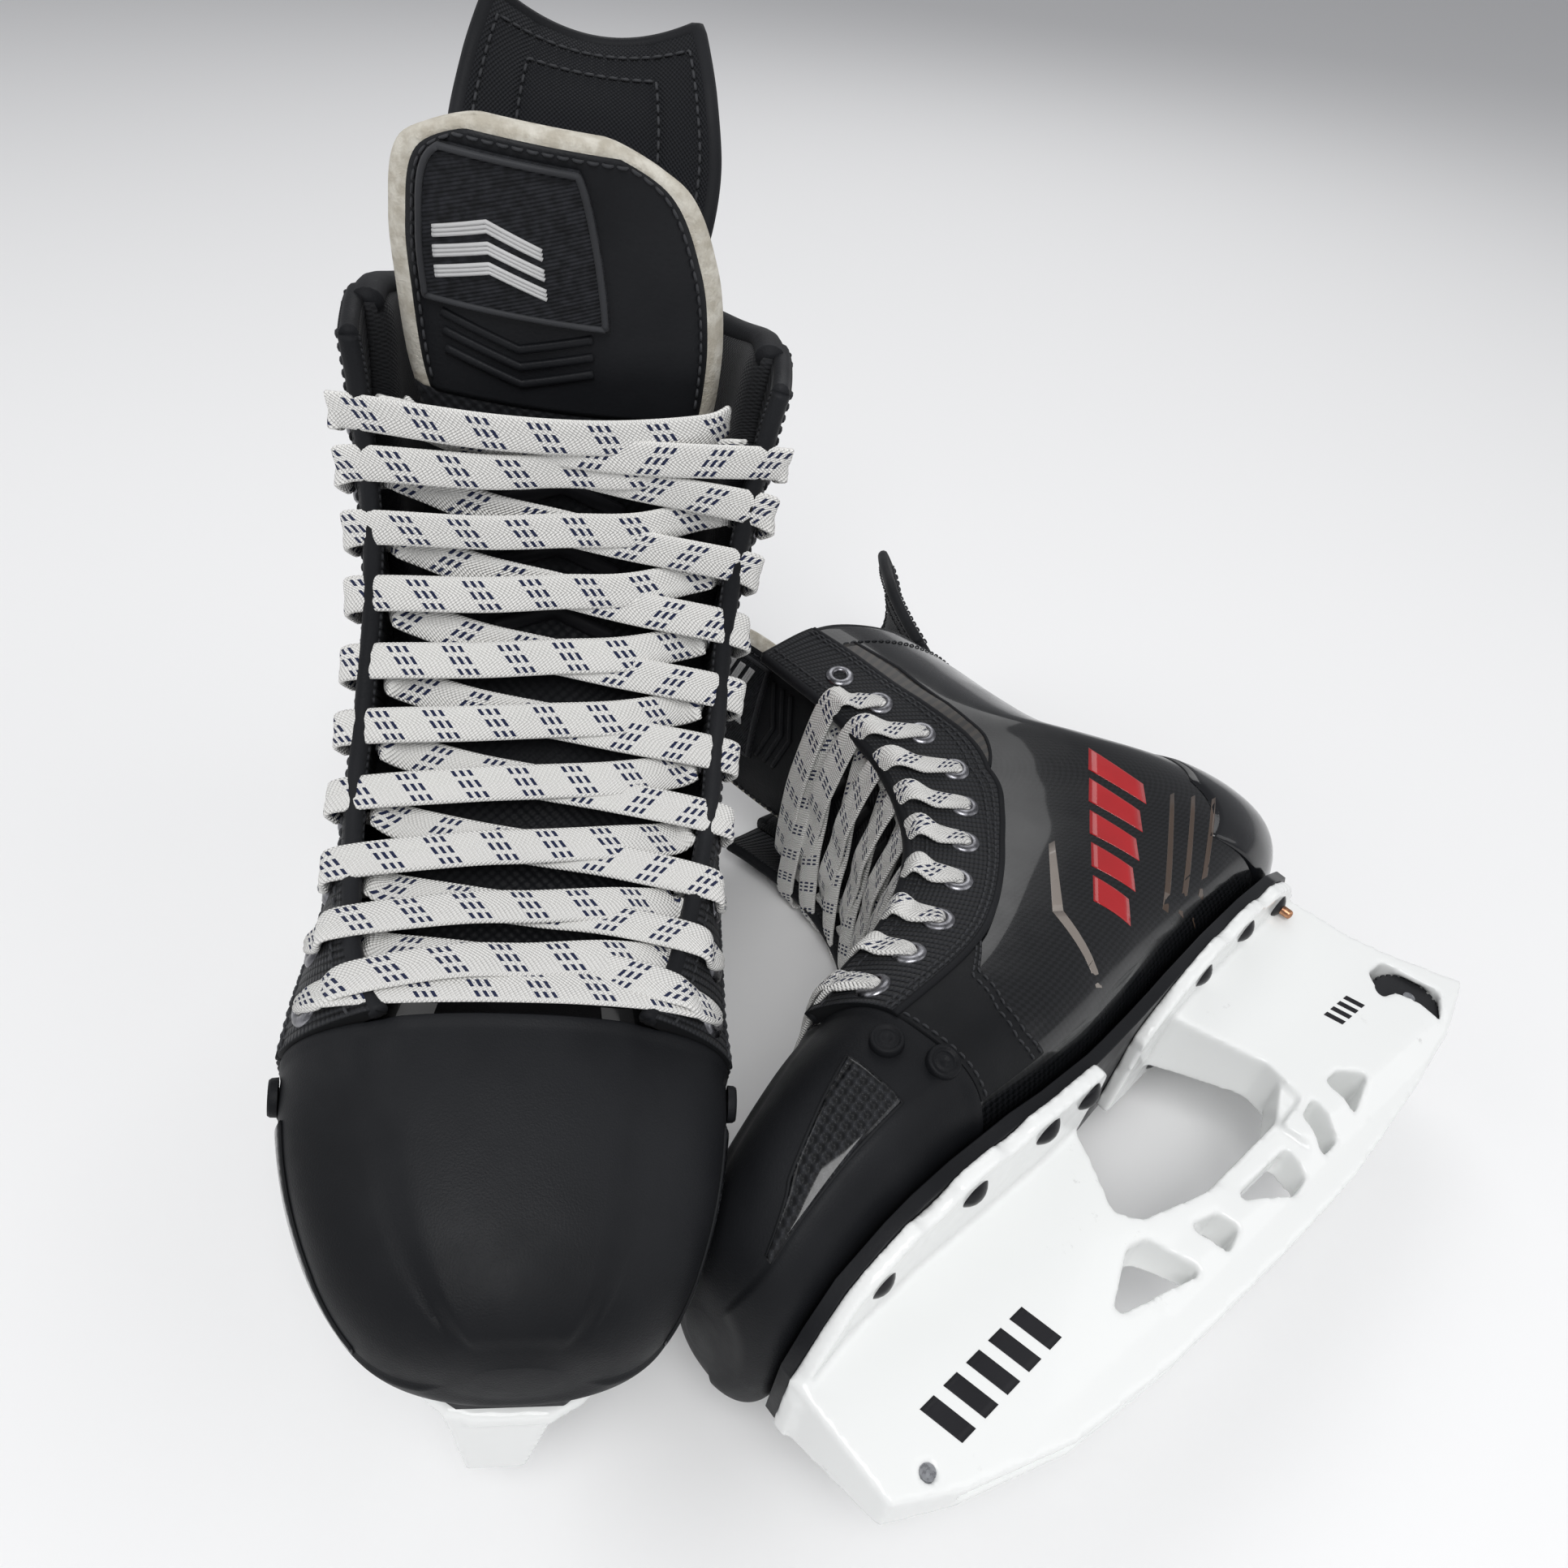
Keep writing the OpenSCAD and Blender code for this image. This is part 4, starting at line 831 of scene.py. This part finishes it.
def make_facings(side):
    """Facings: ribbed mesh in a bound edge, with two lines of stitching round the eyelets"""
    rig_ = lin(0.0, TOP, 121)
    for s, nm in ((1, "lateral"), (-1, "medial")):
        lo = facing_low(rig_)
        a0, a1 = (lo, 1.0 + 0 * lo) if s > 0 else (-1.0 + 0 * lo, -lo)
        fo = lambda k, a, t: 1.2 + 0.75 * puff(t, 0.08)
        slab(nm + "_facing_fine", side, rect(QUARTER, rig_, a0, a1, 25, fo),
            rect(QUARTER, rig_, a0, a1, 25, -3.0), "boots", [nm + "_facing"], mesh_mat, "facing", bevel=0.3)
        edge_tubes, thr = [], []
        p, q = line_on(QUARTER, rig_, s * 0.995, -0.4)
        edge_tubes.append(tube(p, 2.2, 12, normals=q))
        p, q = line_on(QUARTER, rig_, s * (lo + 0.004), 1.3)
        edge_tubes.append(tube(p, 1.2, 8, flat=0.75, normals=q))
        p, q = line_on(QUARTER, np.full(30, 15.0), s * lin(0.6, 0.995, 30), -0.6)
        edge_tubes.append(tube(p, 2.1, 12, normals=q))
        add_mesh(nm + "_binding", side, *join(edge_tubes), "boots", [], binding, "facing")
        for aoff in (0.94, None, -1):
            if aoff == 0.94:
                line = s * np.full(121, 0.935)
            elif aoff is None:
                line = s * (lo + 0.03)
            else:
                line = s * (lo + 0.055)
            p, q = line_on(QUARTER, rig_, line, 2.0)
            rp = resample(p, 0.9)
            qi = q[np.clip(np.round(np.linspace(0, 120, len(rp))).astype(int), 0, 120)]
            thr.append(stitches(rp, qi, 3.1, 2.3, 0.40))
        add_mesh(nm + "_facing_thread", side, *join(thr), "boots", [], thread_mat, "facing")
def make_eyelets(side):
    """Eyelets: rolled rings with a dark bore"""
    ring = [[1.9, -3.6], [2.15, -1.0], [2.2, 2.2], [2.5, 2.75], [3.2, 3.0], [4.2, 2.85], [4.9, 2.4],
        [5.2, 1.9], [5.2, 1.4]]
    plug = [[0, -3.2], [2.1, -3.2]]
    er, pl = [], []
    for i in range(10):
        for s in (-1, 1):
            P, N = line_on(QUARTER, [EYE_K[i]], [s * EYE_A[i]], 0.0)
            er.append(stood(lathe(ring, 36), P[0], N[0]))
            pl.append(stood(lathe(plug, 20), P[0], N[0]))
    add_mesh("eyelet_rings", side, *join(er), "boots", ["eyelets"], metal, "eyelet")
    add_mesh("eyelet_bores", side, *join(pl), "boots", [], ink, "eyelet")
def make_ankle_panels(side):
    """Ankle panel: bronze film behind the facing, edged by piping"""
    parts, rims = [], []
    for s in (-1, 1):
        bk = lin(7.7, 14.3, 60)
        hi = facing_low(bk) + 0.012
        lo = hi - np.interp(bk, [7.7, 9, 11, 13, 14.3], [0.02, 0.075, 0.13, 0.14, 0.12])
        a0, a1 = (lo, hi) if s > 0 else (-hi, -lo)
        fo = lambda k, a, t: 0.25 + 0.6 * puff(t, 0.1)
        parts.append(slab_data(rect(QUARTER, bk, a0, a1, 17, fo), rect(QUARTER, bk, a0, a1, 17, -0.3)))
        p, q = line_on(QUARTER, bk, s * lo, 0.35)
        rims.append(tube(p, 0.8, 8, normals=q))
    add_mesh("ankle_film", side, *join(parts), "boots", ["ankle_panels"], bronze, "ankle_panel")
    add_mesh("ankle_edge", side, *join(rims), "boots", [], binding, "ankle_panel")
def make_heel_counter(side):
    """Heel counter: gloss moulding round the back"""
    hk = lin(6.4, 11.2, 50)
    w = np.interp(hk, [6.4, 8, 10, 11.2], [0.30, 0.34, 0.27, 0.14])
    fo = lambda k, a, t: 0.3 + 0.9 * puff(t, 0.1) * np.minimum(1, puff(np.clip((k - 6.4) / 4.8, 0, 1), 0.12))
    slab("heel_moulding", side, rect(QUARTER, hk, -w, w, 33, fo), rect(QUARTER, hk, -w, w, 33, -0.4),
        "boots", ["heel_counter"], heel_mat, "heel_counter", bevel=0)
def make_tongue(side):
    """Tongue: padded lower part, felt upper with cover and badge"""
    tk, tu = lin(0.2, 8.6, 80), lin(0, 1, 31)
    K, U = np.meshgrid(tk, tu, indexing="ij")
    quilt = 0.5 * np.abs(np.sin(K * math.pi * 1.4)) * step(np.abs(U - 0.5), 0.02, 0.10)
    front = tongue_point(K, U, -1.6 + 1.6 * puff(U, 0.12) + quilt * 0.6)
    back = tongue_point(K, U, -3.4 - 1.6 * puff(U, 0.12))
    t1 = slab("tongue_low", side, back, front, "boots", ["tongue_base"], tongue_mat, "tongue", bevel=0)
    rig.padded(t1, fill=0.9)
    uk = lin(8.55, 13, 50)
    K, U = np.meshgrid(uk, tu, indexing="ij")
    end = puff(np.clip((13 - K) / 4.45 * 0.5, 0, 0.5), 0.05)
    front = tongue_point(K, U, -2.2 + 1.9 * puff(U, 0.06) * end)
    back = tongue_point(K, U, -3.0 - 3.4 * puff(U, 0.10) * end)
    t2 = slab("tongue_felt_fine", side, back, front, "tongue", ["tongue_felt"], felt_mat, "felt", bevel=0)
    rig.padded(t2, fill=0.9)
    uk = lin(8.6, 12.62, 50)
    K, U = np.meshgrid(uk, tu, indexing="ij")
    end = puff(np.clip((12.62 - K) / 4.0 * 0.5, 0, 0.5), 0.04)
    front = tongue_point(K, U, -0.6 + 1.2 * puff(U, 0.05) * end, 3.4)
    back = tongue_point(K, U, -1.6, 3.4)
    slab("tongue_face", side, back, front, "tongue", ["tongue_cover"], cover_mat, "tongue_cover", bevel=0)
    loop = [(k, 0.03) for k in lin(8.8, 12.45, 40)] + [(12.45, uu) for uu in lin(0.03, 0.97, 40)] + [(k,
        0.97) for k in lin(12.45, 8.8, 40)]
    P, N = lifted(face_point, loop, 0.75)
    rp = resample(P, 0.9)
    add_mesh("tongue_thread", side, *stitches(rp, spread(N, len(rp)), 3.0, 2.2,
        0.36), "tongue", [], thread_mat, "tongue_cover")
def make_badge(side):
    """Badge with embroidered chevrons"""
    bk, bu = lin(10.05, 12.25, 40), lin(0.34, 0.96, 40)
    K, U = np.meshgrid(bk, bu, indexing="ij")
    Ut = (U - 0.34) / 0.62
    front = tongue_point(K, U, 1.0 + 1.0 * puff(Ut, 0.06) * puff((K - 10.05) / 2.2001, 0.06), 3.4)
    slab("badge_patch", side, tongue_point(K, U, 0.2, 3.4), front, "tongue", ["tongue_badge"], badge_mat,
        "badge", bevel=0)
    loop = [(k, 0.355) for k in lin(10.12, 12.18, 30)] + [(12.18, uu) for uu in lin(0.355, 0.945, 30)] + \
           [(k, 0.945) for k in lin(12.18, 10.12, 30)] + [(10.12, uu) for uu in lin(0.945, 0.355, 30)]
    P, N = lifted(face_point, loop, 1.9)
    rope = [tube(P, 0.75, 8, normals=N)]
    add_mesh("badge_border", side, *join(rope), "tongue", [], thread_mat, "badge")
    chev = []
    for c, kk0 in enumerate((10.45, 10.72, 10.99)):
        for q in (0, 0.055, 0.11):
            pts = [(kk0 + q + 0.22 * (1 - abs(2 * tt - 1)), 0.54 + 0.36 * tt) for tt in lin(0, 1, 25)]
            P, N = lifted(face_point, pts, 2.05)
            chev.append(tube(P, 0.5, 6, normals=N))
    add_mesh("badge_chevrons", side, *join(chev), "tongue", [], pale_thread, "badge")
def make_tongue_embossing(side):
    """Embossed chevrons on the tongue face below the badge"""
    emboss = []
    for k_tip in (9.0, 9.28, 9.56):
        pts = [(k_tip + 0.34 * abs(2 * tt - 1), 0.40 + 0.50 * tt) for tt in lin(0, 1, 31)]
        P, N = lifted(face_point, pts, 0.95)
        emboss.append(tube(P, 1.1, 8, flat=0.55, normals=N))
    add_mesh("tongue_emboss", side, *join(emboss), "tongue", [], cover_mat, "tongue_cover")
def make_lace_guard(side):
    """Lace guard: moulded chevron ribs on the tongue"""
    ribs = []
    for c in range(7):
        kk = 5.1 + 0.46 * c
        us = lin(0.27, 0.73, 30)
        kks = kk + 0.35 * (1 - np.abs(2 * lin(0, 1, 30) - 1))
        K = kks[None, :] + lin(0, 0.26, 6)[:, None]
        U = np.repeat(us[None, :], 6, 0)
        bulge = 0.5 + 0.9 * puff(np.repeat(lin(0, 1, 6)[:, None], 30, 1), 0.5)
        ribs.append(slab_data(tongue_point(K, U, 0.0), tongue_point(K, U, bulge)))
    add_mesh("lace_guard_ribs", side, *join(ribs), "boots", ["lace_guard"], ink, "lace_guard")
def make_tendon_guard(side):
    """Tendon guard: padded cloth with bound edge and quilting thread"""
    gk, gj = lin(0, 4, 60), lin(-1, 1, 61)
    K, J = np.meshgrid(gk, gj, indexing="ij")
    T = (J + 1) / 2
    end = puff(np.clip((4 - K) / 4 * 0.5, 0, 0.5), 0.05)
    dish = -0.8 * np.exp(-((np.abs(J) - 0.55) / 0.05) ** 2) * step(K, 0.2, 0.6)
    ov = guard_point(K, J, 0.9 - (1.6 * puff(T, 0.06) * end + dish * 0.5))
    iv = guard_point(K, J, 3.1 + (1.6 * puff(T, 0.06) * end + dish * 0.6))
    g = slab("guard_pad", side, ov, iv, "guard", ["tendon_guard"], guard_mat, "tendon_guard", bevel=0)
    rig.padded(g, fill=0.9)
    loop = [(k, -0.985) for k in lin(0.05, 3.93, 50)] + [(3.93, j) for j in lin(-0.985, 0.985, 60)] + [(k,
        0.985) for k in lin(3.93, 0.05, 50)]
    P, out = lifted(guard_point, loop, 2.0)
    add_mesh("guard_binding", side, *tube(resample(P, 1.5), 2.3, 10,
        normals=spread(out, len(resample(P, 1.5)))),
        "guard", [], binding, "tendon_guard")
    thr = []
    for face, sg in ((-1.1, -1), (5.1, 1)):
        for ins in (0.87, 0.55):
            top = 3.6 if ins > 0.7 else 3.2
            loop = [(k, -ins) for k in lin(0.2, top, 40)] + [(top, j) for j in lin(-ins, ins,
                40)][1:] + [(k, ins) for k in lin(top, 0.2, 40)][1:]
            P, N = lifted(guard_point, loop, face, sg)
            rp = resample(P, 0.9)
            thr.append(stitches(rp, spread(N, len(rp)), 3.3, 2.4, 0.42))
    add_mesh("guard_thread", side, *join(thr), "guard", [], thread_mat, "tendon_guard")
def make_laces(side):
    """Laces"""
    top = 10 if side == "right" else 9
    parts = [ribbon(bar(), seed=1)]
    for i in range(top - 1):
        for s in (-1, 1):
            parts.append(ribbon(strand(i, i + 1, s, 3.4 if s > 0 else 1.2), seed=2 + i * 2 + (s > 0)))
    parts.append(ribbon(tail(top - 1, 1, 1), seed=31))
    parts.append(ribbon(tail(top - 1, -1, -0.3), seed=32))
    add_mesh("lace_woven", side, *join(parts), "boots", ["lace"], lace_mat, "lace")
def make_rivets(side):
    """Rivets"""
    add_mesh("front_rivet_heads", side, *rivet_heads(FRONT_RIVETS), "boots", ["front_rivets"],
        rivet_mat, "rivet")
    add_mesh("rear_rivet_heads", side, *rivet_heads(REAR_RIVETS), "boots", ["rear_rivets"],
        rivet_mat, "rivet")
    add_mesh("heel_rivet_heads", side, *rivet_heads([HEEL_RIVET]), "boots", [], rivet_mat, "rivet")
    shanks = []
    for s in (-1, 1):
        p, outward = below(HEEL_RIVET[0], s * HEEL_RIVET[1], 0.0)
        shanks.append(stood(lathe(SHANK, 24), p, outward))
    add_mesh("heel_rivet_shank", side, *join(shanks), "boots", ["heel_rivet"], copper, "copper")
def make_plain_solids(side):
    """CAD solids that keep their shape"""
    for node, mat, slot_name, bevel in (
        ("outsole", sole_mat, "outsole", 0.8), ("footbed", bed_mat, "footbed", 0.8),
        ("lock_dial", dial_mat, "dial", 0.25), ("lock_axle", steel, "steel", 0.2),
        ("lock_hook", steel, "steel", 0.3), ("front_stop", steel, "steel", 0.2)):
        cad_copy(f"{side}_{node}", mat, slot_name, bevel)
MOULD_VOXEL, MOULD_PASSES = 0.0009, 9
def make_holder(side):
    """Holder: scalloped between the rivets, then softened like a moulding"""
    h = cad_copy(f"{side}_holder", white_mat, "holder", 0)
    h.modifiers.clear()
    cuts = []
    for x, y, r in ((225, 46.5, 11), (194.5, 50.5, 12), (170, 50.0, 7.5), (68, 41.5, 11), (39, 39.5, 11),
        (98, 38, 9)):
        for s in (-1, 1):
            p, nn = below(x, s * y, 0)
            cuts.append(stood(lathe([[0, -12], [r, -12], [r, 12], [0, 12]], 40), p, nn))
    v_, f_, _ = join(cuts)
    cut = add_mesh("scallops", side, v_, f_, None, "boots", [], white_mat, "holder", smooth=False)
    b = h.modifiers.new("scallop", "BOOLEAN")
    b.operation, b.solver, b.object = "DIFFERENCE", "EXACT", cut
    r = h.modifiers.new("mould", "REMESH")
    r.mode, r.voxel_size, r.use_smooth_shade = "VOXEL", MOULD_VOXEL, True
    s_ = h.modifiers.new("soften", "SMOOTH")
    s_.factor, s_.iterations = 0.5, MOULD_PASSES
    bake(h)
    bpy.data.objects.remove(cut)
    for p in h.data.polygons:
        p.use_smooth = True
    return h
def build(side):
    """One whole skate; gives its holder"""
    for make in (make_quarter_shell, make_padded_lining, make_collar_piping, make_toe_cap,
        make_woven_insets, make_cap_buttons, make_vamp_overlay, make_facings, make_eyelets,
        make_ankle_panels, make_heel_counter, make_tongue, make_badge, make_tongue_embossing,
        make_lace_guard, make_tendon_guard, make_laces, make_rivets, make_plain_solids):
        make(side)
    return make_holder(side)

holders = {s: build(s) for s in ("right", "left")}

# ---- Accents laid onto the finished surfaces -----------------------------------------------------
def caster(side, names):
    vs, fs, n = [], [], 0
    r, t, m = PLACE[side]
    for nm in names:
        o = bpy.data.objects[nm]
        co = np.array([v.co for v in o.data.vertices]) * 1000
        co = ((co - t) @ r) * [1, m, 1]
        vs.append(co)
        fs += [tuple(i + n for i in p.vertices) for p in o.data.polygons]
        n += len(co)
    return BVHTree.FromPolygons([Vector(c) for c in np.concatenate(vs)], fs)
def decal(tree, poly, s, lift=0.12, n=7):
    """A thin film over the quadrilateral poly of (x, z) corners, cast onto the skate's side s"""
    a, b, c, d = [np.array(q, float) for q in poly]
    g = np.zeros((n * 3, n, 3))
    ok = True
    for i in range(n * 3):
        for j in range(n):
            u, v = i / (n * 3 - 1), j / (n - 1)
            q = (a * (1 - u) + b * u) * (1 - v) + (d * (1 - u) + c * u) * v
            hit = tree.ray_cast(Vector((q[0], 140 * s, q[1])), Vector((0, -s, 0)))
            if hit[0] is None:
                ok = False
                continue
            g[i, j] = np.array(hit[0]) + lift * np.array([0, s, 0])
    return slab_data(g, g - [0, 0.25 * s, 0]) if ok else None
def accent(name, side, tree, polys, sides, mat, slot_name):
    parts = [p for s in sides for q in polys for p in [decal(tree, q, s)] if p is not None]
    if parts:
        add_mesh(name, side, *join(parts), "boots", [], mat, slot_name)
for side in ("right", "left"):
    boot = caster(side, [f"{side}_{n}" for n in ("quarter", "vamp_wing", "heel_moulding")])
    stripes = [[(57 + 12.0 * i, 150 - 10.5 * i), (66 + 12.0 * i, 142.5 - 10.5 * i),
        (59.5 + 12.0 * i, 121 - 8.0 * i), (52.5 + 12.0 * i, 128 - 8.0 * i)] for i in range(5)]
    accent("side_stripes", side, boot, stripes, (1, -1), red, "composite")
    tick = [[(104, 125), (107, 125), (131, 103.5), (127.5, 102)],
        [(127.5, 102), (131, 103.5), (137, 79), (134, 78.5)]]
    accent("side_tick", side, boot, tick, (1, -1), silver, "composite")
    arcs = [[(20 + 8 * i, 108 + 4 * i), (22.5 + 8 * i, 108 + 4 * i), (64 + 8 * i, 82 + 2.5 * i),
        (62 + 8 * i, 80.5 + 2.5 * i)] for i in range(4)]
    accent("heel_stripes", side, boot, arcs, (1, -1), brown, "heel_counter")
    h = caster(side, [holders[side].name])
    marks = [[(206 + 8.5 * i, 33.0 - 0.5 * i), (211.0 + 8.5 * i, 32.7 - 0.5 * i),
        (207.0 + 8.5 * i, 21.5 - 0.5 * i), (202 + 8.5 * i, 21.8 - 0.5 * i)] for i in range(5)]
    accent("holder_marks", side, h, marks, (1, -1), ink, "holder")
    small = [[(31 + 4.2 * i, 40), (33.2 + 4.2 * i, 40), (31.2 + 4.2 * i, 34),
        (29 + 4.2 * i, 34)] for i in range(4)]
    accent("holder_small_marks", side, h, small, (1, -1), ink, "holder")

# ---- Studio ----------------------------------------------------------------------------------------
bpy.ops.mesh.primitive_plane_add(size=12, location=(0, 0, -0.0002))
floor = bpy.context.object
floor.name = "floor"
fm = Mat("floor_paper", (0.86, 0.86, 0.86), 0.7)
floor.data.materials.append(fm.m)
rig.stage(floor)
def area(name, loc, target, size, power, colour=(1, 1, 1)):
    l = bpy.data.lights.new(name, "AREA")
    l.energy, l.size, l.color = power, size, colour
    o = bpy.data.objects.new(name, l)
    o.location = loc
    o.rotation_mode = "QUATERNION"
    o.rotation_quaternion = (Vector(target) - Vector(loc)).to_track_quat("-Z", "Y")
    scene.collection.objects.link(o)
area("key", (0.9, -0.2, 1.5), (0, 0, 0.1), 0.9, 18)
area("fill", (0.5, 1.2, 0.9), (0, 0, 0.1), 1.2, 5)
area("side", (-0.2, -1.4, 0.9), (0, 0, 0.1), 1.2, 5)
area("back", (-1.2, 0.3, 1.2), (0, 0, 0.15), 1.0, 6)
world_ = bpy.data.worlds.new("studio")
scene.world = world_
world_.use_nodes = True
world_.node_tree.nodes["Background"].inputs[0].default_value = (0.95, 0.96, 1, 1)
world_.node_tree.nodes["Background"].inputs[1].default_value = 0.36
scene.view_settings.view_transform = "Standard"
scene.view_settings.exposure = 0.0

json.dump({"cad": cad_box, "visual": [list(c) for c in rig.bounds()]}, open("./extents.json", "w"))
